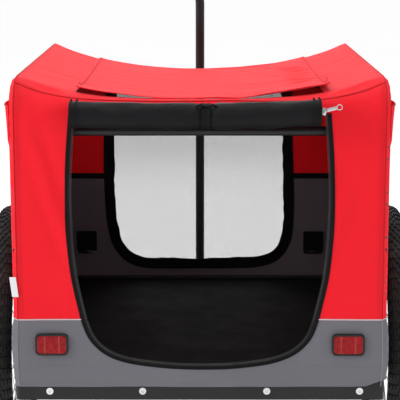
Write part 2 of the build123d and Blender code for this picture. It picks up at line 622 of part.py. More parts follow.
def hitch_yaw_pin():
    half = HITCH_DEPTH + SEAT + EAR_THICKNESS
    cap = ARM_Y - half - SEAT
    pin = rod((-ARM_JOG, cap, YAW_Z), (-ARM_JOG, ARM_Y + half, YAW_Z), HITCH_PIN)
    return pin + rod((-ARM_JOG, cap, YAW_Z), (-ARM_JOG, cap - 2, YAW_Z), HITCH_HALF - 1)


def hitch_head():
    """Link between the arm and the axle plate: yaws on one pin, carries the other."""
    x = -ARM_JOG
    near, far = ARM_Y - HITCH_DEPTH, ARM_Y + HITCH_DEPTH
    body = block(x - HITCH_HALF, x + HITCH_HALF, near, far, YAW_Z, PITCH_Z)
    body += rod((x, near, YAW_Z), (x, far, YAW_Z), HITCH_HALF - SEAT)
    body += rod((x - HITCH_HALF, ARM_Y, PITCH_Z), (x + HITCH_HALF, ARM_Y, PITCH_Z), HITCH_HALF)
    body -= rod((x, ARM_Y - 20, YAW_Z), (x, ARM_Y + 20, YAW_Z), HITCH_PIN + RUNNING)
    return body - rod((x - 20, ARM_Y, PITCH_Z), (x + 20, ARM_Y, PITCH_Z), HITCH_PIN + PRESSED)


def hitch_pitch_pin():
    x = -ARM_JOG
    left = x - HITCH_HALF - SEAT
    right = x + HITCH_HALF + SEAT + AXLE_PLATE + SEAT
    pin = rod((left, ARM_Y, PITCH_Z), (right, ARM_Y, PITCH_Z), HITCH_PIN)
    pin += rod((left, ARM_Y, PITCH_Z), (left - 3, ARM_Y, PITCH_Z), HITCH_PIN + 3)
    return pin + rod((right, ARM_Y, PITCH_Z), (right + 3, ARM_Y, PITCH_Z), HITCH_PIN + 3)


def hitch_plate():
    """Steel plate that goes under the bicycle's axle nut."""
    near = -ARM_JOG + HITCH_HALF + SEAT
    far = near + AXLE_PLATE
    plate = block(near, far, ARM_Y - AXLE_PLATE_HALF, ARM_Y + AXLE_PLATE_HALF, PITCH_Z, AXLE_BORE_Z)
    for z in (PITCH_Z, AXLE_BORE_Z):
        plate += rod((near, ARM_Y, z), (far, ARM_Y, z), AXLE_PLATE_HALF)
    plate -= rod((near - 1, ARM_Y, PITCH_Z), (far + 1, ARM_Y, PITCH_Z), HITCH_PIN + RUNNING)
    return plate - rod((near - 1, ARM_Y, AXLE_BORE_Z), (far + 1, ARM_Y, AXLE_BORE_Z), AXLE_BORE)


def bracket_bolts():
    """The tow bracket's two bolts and the stand's two pivot bolts."""
    face = HALF_LENGTH + EAR_THICKNESS
    made = [round_screw(x, face, ARM_Z, 1, BOLT_HEAD, BOLT_HEAD_THICKNESS, BOLT_RADIUS, EAR_THICKNESS + 6)
            for x in (-BOLT_X, BOLT_X)]
    reach = STAND_TUBE + SEAT + CHEEK
    for side in (-1, 1):
        x = side * STAND_HALF
        bolt = rod((x - reach, STAND_Y, STAND_Z), (x + reach + SEAT, STAND_Y, STAND_Z), STAND_PIN)
        cap = x + reach + SEAT
        made.append(bolt + rod((cap, STAND_Y, STAND_Z), (cap + 3, STAND_Y, STAND_Z), STAND_PIN + 3))
    return together(*made)


# ---------------------------------------------------------------- parking stand
def stand_bracket(side):
    """Fork under the front rail that the stand hangs from."""
    x = side * STAND_HALF
    inner = STAND_TUBE + SEAT
    outer = inner + CHEEK
    half = RAIL_WIDTH / 2 - 1
    body = block(x - outer, x + outer, STAND_Y - half, STAND_Y + half, RAIL_FOOT - 3, RAIL_FOOT)
    for hand in (-1, 1):
        near, far = x + hand * inner, x + hand * outer
        body += block(near, far, STAND_Y - half, STAND_Y + half, STAND_Z, RAIL_FOOT - 2)
        body += rod((near, STAND_Y, STAND_Z), (far, STAND_Y, STAND_Z), half)
    return body - rod((x - 20, STAND_Y, STAND_Z), (x + 20, STAND_Y, STAND_Z), STAND_PIN + PRESSED)


def stand_leg():
    """U-shaped tube, raked forwards from its pivots."""
    drop = STAND_Z - STAND_BAR_Z
    length = math.hypot(drop, STAND_RAKE)
    top_y = STAND_Y - STAND_RAKE * STAND_TOP / length
    top_z = STAND_Z + drop * STAND_TOP / length
    foot_y = STAND_Y + STAND_RAKE
    points = [(-STAND_HALF, top_y, top_z), (-STAND_HALF, foot_y, STAND_BAR_Z),
              (STAND_HALF, foot_y, STAND_BAR_Z), (STAND_HALF, top_y, top_z)]
    leg = bent_tube(points, STAND_TUBE, STAND_WALL, STAND_BEND)
    for side in (-1, 1):
        x = side * STAND_HALF
        leg -= rod((x - 20, STAND_Y, STAND_Z), (x + 20, STAND_Y, STAND_Z), STAND_PIN + RUNNING)
    return leg


def stand_foot(side):
    """Rubber block round the stand's lower bar."""
    y = STAND_Y + STAND_RAKE
    x = side * FOOT_X
    half = FOOT_LENGTH / 2
    body = block(x - half, x + half, y - FOOT_DEPTH / 2, y + FOOT_DEPTH / 2, 0, FOOT_HEIGHT)
    body = fillet(body.edges().filter_by(Axis.X).group_by(Axis.Z)[-1], 8)
    return body - rod((x - half - 1, y, STAND_BAR_Z), (x + half + 1, y, STAND_BAR_Z), STAND_TUBE + SEAT)


# ---------------------------------------------------------------- cloth outlines, in X and Z or in Y and Z
def door_outline(inset=0.0):
    """Doorway: bowed sides and a deep rounded foot, drawn in by inset."""
    top, seam = DOOR_HALF - DOOR_TOP_IN - inset, DOOR_HALF - DOOR_SEAM_IN - inset
    shoulder = DOOR_HALF - DOOR_SHOULDER_IN - inset * 0.7
    bow = (DOOR_TOP + SKIRT_REAR) / 2
    low, rounded = DOOR_LOW + inset, DOOR_SHOULDER + inset * 0.7
    left = ThreePointArc((-top, DOOR_TOP), (-DOOR_HALF + inset, bow), (-seam, SKIRT_REAR))
    foot = Spline((-seam, SKIRT_REAR), (-shoulder, rounded), (0, low), (shoulder, rounded), (seam, SKIRT_REAR))
    right = ThreePointArc((seam, SKIRT_REAR), (DOOR_HALF - inset, bow), (top, DOOR_TOP))
    head = Line((top, DOOR_TOP), (-top, DOOR_TOP))
    return make_face(Wire([*left.edges(), *foot.edges(), *right.edges(), *head.edges()]))


def window_outline(inset=0.0):
    """Front window: straight sides and top, and a rounded foot."""
    half = HALF_WIDTH - WINDOW_MARGIN - inset
    low, top = WINDOW_LOW + inset, WINDOW_TOP - inset
    radius = WINDOW_RADIUS
    outline = Pos(0, (low + top) / 2) * Rectangle(2 * half, top - low)
    corners = outline.vertices().sort_by(Axis.Y)[:2]
    return fillet(corners, radius)


def wall_outline(low):
    """End wall of the cabin above a height, hollowed along the top as the roof sags."""
    half = HALF_WIDTH - SEAT
    flat = UPRIGHT_X - ROOF_FLAT
    top = FRAME_TOP
    sides = Polyline((-flat, top), (-half, top), (-half, low), (half, low), (half, top), (flat, top))
    sag = ThreePointArc((flat, top), (0, ROOF_LOW - SEAT), (-flat, top))
    return make_face(Wire([*sides.edges(), *sag.edges()]))


def seam_height(y):
    """Height of the side skirt's seam, which rises from the back to the front."""
    share = (y + HALF_LENGTH + CLOTH_OUT) / (2 * (HALF_LENGTH + CLOTH_OUT))
    return SKIRT_REAR + share * (SKIRT_FRONT - SKIRT_REAR)


def side_outline(above):
    """Side wall above the skirt's seam, or the skirt below it."""
    half = HALF_LENGTH + CLOTH_OUT
    rear, front = seam_height(-half), seam_height(half)
    if above:
        points = [(-half, rear + SEAT), (half, front + SEAT), (half, FRAME_TOP), (-half, FRAME_TOP)]
    else:
        points = [(-half, HEM), (half, HEM), (half, front), (-half, rear)]
    return make_face(Polyline(*points, close=True))


def side_window_outline(inset=0.0):
    half = HALF_LENGTH - SIDE_WINDOW_MARGIN - inset
    low, top = SIDE_WINDOW_LOW + inset, SIDE_WINDOW_TOP - inset
    return Pos(0, (low + top) / 2) * RectangleRounded(2 * half, top - low, SIDE_WINDOW_RADIUS)


def roof_section(raise_by, thickness):
    """Sagging roof between two flat strips over the frames' top tubes."""
    edge = HALF_WIDTH + CLOTH_OUT
    flat = UPRIGHT_X - ROOF_FLAT
    under = FRAME_TOP + SEAT + raise_by
    over = under + thickness
    low = ROOF_LOW + raise_by
    pieces = [Line((-edge, under), (-flat, under)), ThreePointArc((-flat, under), (0, low), (flat, under)),
              Line((flat, under), (edge, under)), Line((edge, under), (edge, over)), Line((edge, over), (flat, over)),
              ThreePointArc((flat, over), (0, low + thickness), (-flat, over)), Line((-flat, over), (-edge, over)),
              Line((-edge, over), (-edge, under))]
    return make_face(Wire([e for piece in pieces for e in piece.edges()]))


# ---------------------------------------------------------------- cloth
def canopy_side(side):
    x0, x1 = side * (HALF_WIDTH + CLOTH_IN), side * (HALF_WIDTH + CLOTH_OUT)
    return in_side_plane(side_outline(True) - side_window_outline(), min(x0, x1), max(x0, x1))


def side_window(side):
    x0, x1 = side * (HALF_WIDTH + CLOTH_IN), side * (HALF_WIDTH + CLOTH_IN + MESH_CLOTH)
    return in_side_plane(side_window_outline(SEAT), min(x0, x1), max(x0, x1))


def side_skirt(side):
    x0, x1 = side * (HALF_WIDTH + CLOTH_IN), side * (HALF_WIDTH + CLOTH_OUT)
    skirt = in_side_plane(side_outline(False), min(x0, x1), max(x0, x1))
    return skirt - rod((x0, -AXLE_BACK, RAIL_Z), (2 * x1, -AXLE_BACK, RAIL_Z), SLEEVE_RADIUS + SEAT)


def back_wall(low):
    return in_back_plane(wall_outline(low), -(HALF_LENGTH + CLOTH_OUT), -(HALF_LENGTH + CLOTH_IN))


def front_wall(low):
    return in_back_plane(wall_outline(low), HALF_LENGTH + CLOTH_IN, HALF_LENGTH + CLOTH_OUT)


def through(outline):
    """The outline as a cutter through the front and back walls."""
    return in_back_plane(outline, -HALF_LENGTH - 50, HALF_LENGTH + 50)


def canopy_rear():
    return back_wall(SKIRT_REAR + SEAT) - through(door_outline())


def skirt_rear():
    half = HALF_WIDTH - SEAT
    wall = block(-half, half, -(HALF_LENGTH + CLOTH_OUT), -(HALF_LENGTH + CLOTH_IN), HEM, SKIRT_REAR)
    return wall - through(door_outline())


def rear_zip():
    """Zip tape round the doorway's sides and foot."""
    band = door_outline(SEAT) - door_outline(ZIP_WIDTH)
    band -= Pos(0, DOOR_TOP) * Rectangle(2 * DOOR_HALF + 20, 10)
    return in_back_plane(band, -(HALF_LENGTH + CLOTH_OUT), -(HALF_LENGTH + CLOTH_IN))


def canopy_front():
    return front_wall(SKIRT_FRONT + SEAT) - through(window_outline())


def skirt_front():
    half = HALF_WIDTH - SEAT
    wall = block(-half, half, HALF_LENGTH + CLOTH_IN, HALF_LENGTH + CLOTH_OUT, HEM, SKIRT_FRONT)
    return wall - through(window_outline())


def front_window():
    near = HALF_LENGTH + CLOTH_IN
    return in_back_plane(window_outline(SEAT), near, near + MESH_CLOTH)


def roof_sheet(raise_by, thickness):
    half = HALF_LENGTH + CLOTH_OUT
    return in_back_plane(roof_section(raise_by, thickness), -half, half)


def hatch(inset=0.0):
    half_x = HALF_WIDTH - HATCH_MARGIN - inset
    half_y = HALF_LENGTH - HATCH_END - inset
    return block(-half_x, half_x, -half_y, half_y, 0, 2 * FRAME_TOP)


def roof_cover():
    """Loose flap that lies over the hatch, sewn along its front edge."""
    half_x = HALF_WIDTH - HATCH_MARGIN + COVER_OVER
    strip = block(-half_x, half_x, COVER_REAR - HALF_LENGTH, HALF_LENGTH - SEAT, 0, 2 * FRAME_TOP)
    return roof_sheet(CLOTH + SEAT, MESH_CLOTH) & strip


def door_roll():
    half = DOOR_HALF - DOOR_TOP_IN - ROLL_SHORT
    return rod((-half, ROLL_Y, ROLL_Z), (half, ROLL_Y, ROLL_Z), ROLL_RADIUS)


def reflector(side, end, width, height):
    x = side * (HALF_WIDTH - REFLECTOR_X)
    z = HEM + REFLECTOR_UP
    face = end * (HALF_LENGTH + CLOTH_OUT)
    body = block(x - width / 2, x + width / 2, face, face + end * REFLECTOR_DEPTH, z - height / 2, z + height / 2)
    return fillet(body.edges().filter_by(Axis.Y), 5)


# ---------------------------------------------------------------- all nodes
def both(make):
    """One solid for each side, in one node."""
    return together(make(-1), make(1))


def nodes():
    made = {
        "rail_rear": end_rail(-1),
        "rail_front": end_rail(1),
        "corner_fittings": together(*[corner_fitting(s, e) for s in (-1, 1) for e in (-1, 1)]),
        "corner_posts": together(*[corner_post(s, e) for s in (-1, 1) for e in (-1, 1)]),
        "hinge_pins": together(*[hinge_pin(s, e) for s in (-1, 1) for e in (-1, 1)]),
        "crossbar_ends": together(*[cross_bar_end(s, e) for s in (-1, 1) for e in (-1, 1)]),
        "floor_board": floor_board(),
        "floor_mat": floor_mat(),
        "floor_bearers": both(floor_bearer),
        "cover_screws": cover_screws(),
        "bracket_bolts": bracket_bolts(),
        "tow_bracket": tow_bracket(),
        "tow_arm": tow_arm(),
        "tow_pin": tow_pin(),
        "hitch_socket": hitch_socket(),
        "hitch_yaw_pin": hitch_yaw_pin(),
        "hitch_head": hitch_head(),
        "hitch_pitch_pin": hitch_pitch_pin(),
        "hitch_plate": hitch_plate(),
        "stand_brackets": both(stand_bracket),
        "stand_leg": stand_leg(),
        "stand_feet": both(stand_foot),
        "canopy_roof": roof_sheet(0, CLOTH) - hatch(),
        "roof_mesh": roof_sheet(0, MESH_CLOTH) & hatch(SEAT),
        "roof_cover": roof_cover(),
        "canopy_rear": canopy_rear(),
        "canopy_front": canopy_front(),
        "canopy_sides": both(canopy_side),
        "windows": together(front_window(), side_window(-1), side_window(1)),
        "skirt_rear": skirt_rear(),
        "skirt_front": skirt_front(),
        "skirt_sides": both(side_skirt),
        "rear_zip": rear_zip(),
        "door_roll": door_roll(),
        "reflectors_rear": both(lambda s: reflector(s, -1, REFLECTOR_WIDTH, REFLECTOR_HEIGHT)),
        "reflectors_front": both(lambda s: reflector(s, 1, FRONT_REFLECTOR, FRONT_REFLECTOR)),
    }
    for name, end in (("rear", -1), ("front", 1)):
        made[f"crossbar_{name}"] = cross_bar(end)
        made[f"lock_pins_{name}"] = together(lock_pin(-1, end), lock_pin(1, end))
    for name, side in SIDES.items():
        made[f"rail_{name}"] = side_rail(side)
        made[f"side_frame_{name}"] = side_frame(side)
        made[f"tyre_{name}"] = tyre(side)
        made[f"inner_tube_{name}"] = inner_tube(side)
        made[f"rim_{name}"] = rim(side)
        made[f"spokes_{name}"] = spokes(side)
        made[f"hub_{name}"] = hub(side)
        made[f"bearings_{name}"] = bearings(side)
        made[f"axle_{name}"] = axle(side)
        made[f"axle_button_{name}"] = axle_button(side)
    return made


def main():
    os.makedirs("parts", exist_ok=True)
    for name, shape in nodes().items():
        solids = [Pos(0, CABIN_Y, 0) * solid for solid in shape.solids()]
        whole = solids[0] if len(solids) == 1 else Compound(solids)
        export_step(whole, f"parts/{name}.step")


if __name__ == "__main__":
    main()
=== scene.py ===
"""Bicycle trailer with a folding cloth cabin: sewn panels, zip, rolled door, treaded tyres and finishes.

Metres, +Y the way the trailer travels, +Z up. Cloth is drawn on the surface that the two hoops carry.
"""
import json
import math

import bmesh
import bpy
import numpy as np
from mathutils import Matrix, Vector, geometry, noise


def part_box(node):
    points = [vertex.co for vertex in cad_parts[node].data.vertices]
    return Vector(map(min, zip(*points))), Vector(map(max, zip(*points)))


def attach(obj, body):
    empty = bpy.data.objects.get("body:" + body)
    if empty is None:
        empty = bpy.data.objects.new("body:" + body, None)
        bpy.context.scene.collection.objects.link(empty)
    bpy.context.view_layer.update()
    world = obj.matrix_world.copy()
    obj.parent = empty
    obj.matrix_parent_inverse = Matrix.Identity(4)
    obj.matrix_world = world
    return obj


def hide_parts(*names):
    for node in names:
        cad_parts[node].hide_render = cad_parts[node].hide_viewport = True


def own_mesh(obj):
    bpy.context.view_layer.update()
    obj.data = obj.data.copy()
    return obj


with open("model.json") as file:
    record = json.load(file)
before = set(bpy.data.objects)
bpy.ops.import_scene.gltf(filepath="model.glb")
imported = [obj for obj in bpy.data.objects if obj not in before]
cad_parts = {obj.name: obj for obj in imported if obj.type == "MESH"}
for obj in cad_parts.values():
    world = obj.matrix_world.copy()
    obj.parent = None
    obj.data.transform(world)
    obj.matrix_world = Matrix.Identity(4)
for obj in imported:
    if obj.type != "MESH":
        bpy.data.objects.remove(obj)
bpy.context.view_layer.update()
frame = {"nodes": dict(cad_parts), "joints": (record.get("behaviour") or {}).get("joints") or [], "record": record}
NODES = frame["nodes"]
scene = bpy.context.scene

# ------------------------------------------------------------------ places read from the frame
FOLD = next(j for j in frame["joints"] if j["name"] == "fold")
HINGE_Z = FOLD["deforming_nodes"][0]["fixed_end_z_m"]
MIDDLE_Y = FOLD["pos_m"][1]
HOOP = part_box("side_frame_right")
POST_X = -FOLD["pos_m"][0]                      # hoop's plane
TUBE = HOOP[1].x - POST_X                       # tube's radius
POST_Y = (HOOP[1].y - HOOP[0].y) / 2 - TUBE     # uprights, from the cabin's middle
BAR_TOP = HOOP[1].z - TUBE                      # hoop's top run
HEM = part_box("skirt_rear")[0].z
SEAM_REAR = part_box("skirt_rear")[1].z           # red and grey meet here at the back
SEAM_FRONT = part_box("skirt_front")[1].z
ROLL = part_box("door_roll")
WHEEL = {side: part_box("tyre_" + side) for side in ("left", "right")}

BEND = 0.045                                    # hoop's corner radius
WRAP = TUBE + 0.0023                            # cloth's outer face round a tube
WALL_Y = POST_Y + WRAP
WALL_X = POST_X + WRAP
CORNER = BEND + WRAP
SEAM_TURN = math.radians(15)                    # side seams lie this far round the tube
EDGE_U = POST_X + WRAP * SEAM_TURN
STRAIGHT = BAR_TOP - BEND                       # length of the path up to a corner
ARC = CORNER * math.pi / 2
ROOF_RUN = 2 * (POST_Y - BEND)
PATH = 2 * (STRAIGHT + ARC) + ROOF_RUN
SEAM_ARC = 0.66                                 # roof's end seams, as a share of the corner
ROOF_START = STRAIGHT + ARC * SEAM_ARC
ROOF_END = PATH - ROOF_START
CLOTH = 0.0016
HEM_CLEAR = 0.0008                              # hem's height over its node's lowest edge


def smooth(x):
    x = min(max(x, 0.0), 1.0)
    return x * x * (3 - 2 * x)


def mix(a, b, t):
    return a + (b - a) * t


# ------------------------------------------------------------------ camera, light and floor
def set_the_stage():
    camera = bpy.data.objects.new("camera", bpy.data.cameras.new("camera"))
    scene.collection.objects.link(camera)
    camera.location = (0.0, -2.661, 1.0318)
    camera.rotation_euler = (math.radians(90 - 10.2), 0, 0)
    camera.data.lens = 127.3
    camera.data.sensor_width = 36
    camera.data.shift_y = -0.062
    camera.data.clip_end = 50
    scene.camera = camera
    scene.view_settings.view_transform = "Standard"

    def softbox(name, place, target, size, power, colour=(1, 1, 1)):
        lamp = bpy.data.lights.new(name, "AREA")
        lamp.shape, lamp.size, lamp.size_y = "RECTANGLE", size[0], size[1]
        lamp.energy, lamp.color = power, colour
        obj = bpy.data.objects.new(name, lamp)
        scene.collection.objects.link(obj)
        obj.location = place
        obj.rotation_euler = (Vector(target) - Vector(place)).to_track_quat("-Z", "Y").to_euler()

    softbox("top_light", (0, 0.1, 2.9), (0, 0, 0.6), (2.6, 2.4), 34)
    softbox("left_light", (-3.0, -1.5, 1.9), (0, -0.1, 0.5), (1.2, 1.4), 58)
    softbox("right_light", (2.6, -2.0, 1.6), (0, -0.1, 0.5), (1.6, 1.6), 12)
    softbox("back_light", (0, 3.0, 1.8), (0, 0.3, 0.5), (2.4, 1.6), 24)
    world = bpy.data.worlds.new("studio")
    scene.world = world
    world.use_nodes = True
    sky = world.node_tree.nodes["Background"]
    sky.inputs["Color"].default_value = (1, 1, 1, 1)
    sky.inputs["Strength"].default_value = 0.60

    deselect()
    bpy.ops.mesh.primitive_grid_add(x_subdivisions=2, y_subdivisions=2, size=120, location=(0, 0, 0))
    floor = bpy.context.object
    floor.name = "floor"
    return floor


def deselect():
    if bpy.context.object and bpy.context.object.mode != "OBJECT":
        bpy.ops.object.mode_set(mode="OBJECT")
    bpy.ops.object.select_all(action="DESELECT")


floor = set_the_stage()


# ------------------------------------------------------------------ node helpers
def put(tree, kind, inputs=None, **settings):
    """Adds a node, sets its properties, and sets or joins its inputs."""
    node = tree.nodes.new("ShaderNode" + kind)
    for key, value in settings.items():
        setattr(node, key, value)
    for key, value in (inputs or {}).items():
        socket = node.inputs[key]
        if isinstance(value, bpy.types.NodeSocket):
            tree.links.new(value, socket)
        else:
            socket.default_value = value
    return node


def calc(tree, operation, *values):
    return put(tree, "Math", dict(enumerate(values)), operation=operation).outputs[0]


def blend(tree, amount, first, second):
    """Mixes two colours."""
    node = put(tree, "Mix", {0: amount, 6: first, 7: second}, data_type="RGBA")
    return node.outputs[2]


def ramp(tree, value, low, high, to_low=0.0, to_high=1.0):
    sockets = {"Value": value, "From Min": low, "From Max": high, "To Min": to_low, "To Max": to_high}
    return put(tree, "MapRange", sockets, clamp=True).outputs[0]


def new_group(name, inputs, outputs):
    tree = bpy.data.node_groups.new(name, "ShaderNodeTree")
    kinds = {"Vector": "NodeSocketVector"}
    for key, default in inputs.items():
        socket = tree.interface.new_socket(key, in_out="INPUT", socket_type=kinds.get(key, "NodeSocketFloat"))
        if default is not None:
            socket.default_value = default
    for key in outputs:
        tree.interface.new_socket(key, in_out="OUTPUT", socket_type="NodeSocketFloat")
    source = tree.nodes.new("NodeGroupInput")
    sink = tree.nodes.new("NodeGroupOutput")
    return tree, source.outputs, sink.inputs


def use(tree, group, **inputs):
    """Places a shared group in a material."""
    node = tree.nodes.new("ShaderNodeGroup")
    node.node_tree = group
    for key, value in inputs.items():
        if isinstance(value, bpy.types.NodeSocket):
            tree.links.new(value, node.inputs[key])
        else:
            node.inputs[key].default_value = value
    return node.outputs


# ------------------------------------------------------------------ shared effects
def plain_weave():
    """Warp and weft passing over each other: Height of the threads, and Shade, darker in the gaps."""
    tree, given, out = new_group("plain_weave", {"Vector": None, "Pitch": 0.001}, ["Height", "Shade"])
    size = calc(tree, "DIVIDE", 1.0, given["Pitch"])
    grid = put(tree, "VectorMath", {0: given["Vector"], "Scale": size}, operation="SCALE").outputs[0]
    axis = put(tree, "SeparateXYZ", {0: grid}).outputs
    over = calc(tree, "ABSOLUTE", calc(tree, "SINE", calc(tree, "MULTIPLY", axis[0], math.pi)))
    across = calc(tree, "ABSOLUTE", calc(tree, "SINE", calc(tree, "MULTIPLY", axis[1], math.pi)))
    turn = calc(tree, "ADD", calc(tree, "FLOOR", axis[0]), calc(tree, "FLOOR", axis[1]))
    odd = calc(tree, "FLOORED_MODULO", turn, 2.0)
    one = calc(tree, "MULTIPLY", calc(tree, "SUBTRACT", 1.0, odd), over)
    two = calc(tree, "MULTIPLY", odd, across)
    slub = put(tree, "TexNoise", {"Vector": grid, "Scale": 0.35, "Detail": 2.0}).outputs[0]
    height = calc(tree, "MULTIPLY", calc(tree, "ADD", one, two), ramp(tree, slub, 0.2, 0.8, 0.75, 1.1))
    tree.links.new(height, out["Height"])
    tree.links.new(ramp(tree, height, 0.0, 0.8, 0.0, 1.0), out["Shade"])
    return tree


def soft_creases():
    """Shallow handling creases in stretched cloth, and a slow unevenness of tone."""
    tree, given, out = new_group("soft_creases", {"Vector": None, "Size": 0.06}, ["Height", "Tone"])
    scale = calc(tree, "DIVIDE", 1.0, given["Size"])
    folds = put(tree, "TexNoise", {"Vector": given["Vector"], "Scale": scale, "Detail": 4.0,
                                   "Roughness": 0.55, "Distortion": 0.8}).outputs[0]
    ridge = calc(tree, "ABSOLUTE", calc(tree, "SUBTRACT", folds, 0.5))
    slow = put(tree, "TexNoise", {"Vector": given["Vector"], "Scale": calc(tree, "MULTIPLY", scale, 0.3),
                                  "Detail": 2.0}).outputs[0]
    tree.links.new(ramp(tree, ridge, 0.0, 0.16, 0.0, 1.0), out["Height"])
    tree.links.new(ramp(tree, slow, 0.3, 0.7), out["Tone"])
    return tree


def fine_dust():
    """Dust on what faces up, broken by noise."""
    tree, given, out = new_group("fine_dust", {"Vector": None, "Amount": 0.3}, ["Mask"])
    up = put(tree, "SeparateXYZ", {0: tree.nodes.new("ShaderNodeNewGeometry").outputs["Normal"]}).outputs[2]
    grain = put(tree, "TexNoise", {"Vector": given["Vector"], "Scale": 38.0, "Detail": 6.0}).outputs[0]
    mask = calc(tree, "MULTIPLY", ramp(tree, up, 0.1, 0.9), ramp(tree, grain, 0.42, 0.72))
    tree.links.new(calc(tree, "MULTIPLY", mask, given["Amount"]), out["Mask"])
    return tree


def rubbed_marks():
    """Fine scuffs of handling: Mask of the marks and a slow change of polish."""
    tree, given, out = new_group("rubbed_marks", {"Vector": None, "Amount": 0.4}, ["Mask", "Polish"])
    drawn = put(tree, "Mapping", {"Vector": given["Vector"], "Scale": (1.0, 1.0, 0.12)}).outputs[0]
    thin = put(tree, "TexNoise", {"Vector": drawn, "Scale": 260.0, "Detail": 3.0}).outputs[0]
    patch = put(tree, "TexNoise", {"Vector": given["Vector"], "Scale": 14.0, "Detail": 3.0}).outputs[0]
    mask = calc(tree, "MULTIPLY", ramp(tree, thin, 0.62, 0.7), ramp(tree, patch, 0.5, 0.64))
    tree.links.new(calc(tree, "MULTIPLY", mask, given["Amount"]), out["Mask"])
    tree.links.new(patch, out["Polish"])
    return tree


def moulded_grain():
    """The leathery grain of moulded plastic."""
    tree, given, out = new_group("moulded_grain", {"Vector": None, "Size": 0.0012}, ["Height"])
    scale = calc(tree, "DIVIDE", 1.0, given["Size"])
    cells = put(tree, "TexVoronoi", {"Vector": given["Vector"], "Scale": scale},
                feature="SMOOTH_F1").outputs["Distance"]
    tree.links.new(cells, out["Height"])
    return tree


WEAVE, CREASES, DUST = plain_weave(), soft_creases(), fine_dust()
MARKS, GRAIN = rubbed_marks(), moulded_grain()


# ------------------------------------------------------------------ materials
def new_material(name, **plain):
    """A material with one Principled shader, and its plain sockets set."""
    material = bpy.data.materials.new(name)
    material.use_nodes = True
    tree = material.node_tree
    shader = tree.nodes["Principled BSDF"]
    for key, value in plain.items():
        shader.inputs[key.replace("_", " ")].default_value = value
    coords = tree.nodes.new("ShaderNodeTexCoord").outputs
    return material, tree, shader, coords


def bump(tree, shader, height, strength, distance):
    node = put(tree, "Bump", {"Height": height, "Strength": strength, "Distance": distance})
    tree.links.new(node.outputs[0], shader.inputs["Normal"])


def cloth_material(name, colour, deep, pitch, crease=0.3, dust=0.02, rough=0.72, sheen=0.05, space="UV",
                   through=0.0):
    material, tree, shader, coords = new_material(
        name, Sheen_Weight=sheen, Sheen_Roughness=0.5, Specular_IOR_Level=0.10, Subsurface_Weight=through,
        Subsurface_Radius=(1.0, 0.25, 0.25), Subsurface_Scale=0.004)
    weave = use(tree, WEAVE, Vector=coords[space], Pitch=pitch)
    folds = use(tree, CREASES, Vector=coords["Object"], Size=0.07)
    specks = use(tree, DUST, Vector=coords["Object"], Amount=dust)
    thread = blend(tree, ramp(tree, weave["Shade"], 0, 1, 0.35, 1.0), (*deep, 1), (*colour, 1))
    toned = blend(tree, calc(tree, "MULTIPLY", folds["Tone"], 0.22), thread, (*deep, 1))
    dusty = blend(tree, specks["Mask"], toned, (0.55, 0.5, 0.45, 1))
    tree.links.new(dusty, shader.inputs["Base Color"])
    tree.links.new(ramp(tree, weave["Shade"], 0, 1, rough + 0.12, rough), shader.inputs["Roughness"])
    height = calc(tree, "ADD", calc(tree, "MULTIPLY", weave["Height"], 0.25),
                  calc(tree, "MULTIPLY", folds["Height"], crease))
    bump(tree, shader, height, 0.5, 0.0009)
    return material


def net_material(name, colour, pitch, solid):
    """Open net: round threads with see-through holes between them."""
    material, tree, shader, coords = new_material(name, Specular_IOR_Level=0.3)
    size = put(tree, "VectorMath", {0: coords["UV"], "Scale": 1 / pitch}, operation="SCALE").outputs[0]
    axis = put(tree, "SeparateXYZ", {0: size}).outputs
    near = [calc(tree, "PINGPONG", axis[i], 0.5) for i in (0, 1)]
    line = calc(tree, "MINIMUM", near[0], near[1])
    thread = calc(tree, "SUBTRACT", 1.0, ramp(tree, line, solid - 0.03, solid + 0.03))
    fleck = put(tree, "TexNoise", {"Vector": coords["Object"], "Scale": 60.0, "Detail": 2.0}).outputs[0]
    shade = blend(tree, ramp(tree, fleck, 0.35, 0.65), (*[c * 0.7 for c in colour], 1), (*colour, 1))
    tree.links.new(shade, shader.inputs["Base Color"])
    tree.links.new(ramp(tree, fleck, 0.3, 0.7, 0.55, 0.75), shader.inputs["Roughness"])
    tree.links.new(thread, shader.inputs["Alpha"])
    bump(tree, shader, thread, 0.4, 0.0004)
    return material


def hard_material(name, colour, worn, rough, metal=0.0, coat=0.0, grain=0.0, grain_size=0.0012,
                  marks=0.5, dust=0.10, spread=0.12, gloss=0.4):
    """Paint, plastic, rubber or metal with grain, scuffs and dust."""
    material, tree, shader, coords = new_material(name, Metallic=metal, Coat_Weight=coat, Coat_Roughness=0.15,
                                                  Specular_IOR_Level=gloss)
    rubbed = use(tree, MARKS, Vector=coords["Object"], Amount=marks)
    specks = use(tree, DUST, Vector=coords["Object"], Amount=dust)
    pebble = use(tree, GRAIN, Vector=coords["Object"], Size=grain_size)
    slow = ramp(tree, rubbed["Polish"], 0.35, 0.65)
    base = blend(tree, calc(tree, "MULTIPLY", slow, 0.35), (*colour, 1), (*worn, 1))
    scuffed = blend(tree, rubbed["Mask"], base, (*worn, 1))
    dusty = blend(tree, specks["Mask"], scuffed, (0.42, 0.4, 0.37, 1))
    tree.links.new(dusty, shader.inputs["Base Color"])
    tone = calc(tree, "ADD", ramp(tree, rubbed["Polish"], 0.3, 0.7, rough - spread / 2, rough + spread / 2),
                calc(tree, "MULTIPLY", rubbed["Mask"], 0.2))
    tree.links.new(tone, shader.inputs["Roughness"])
    bump(tree, shader, pebble["Height"], grain, 0.0004)
    return material


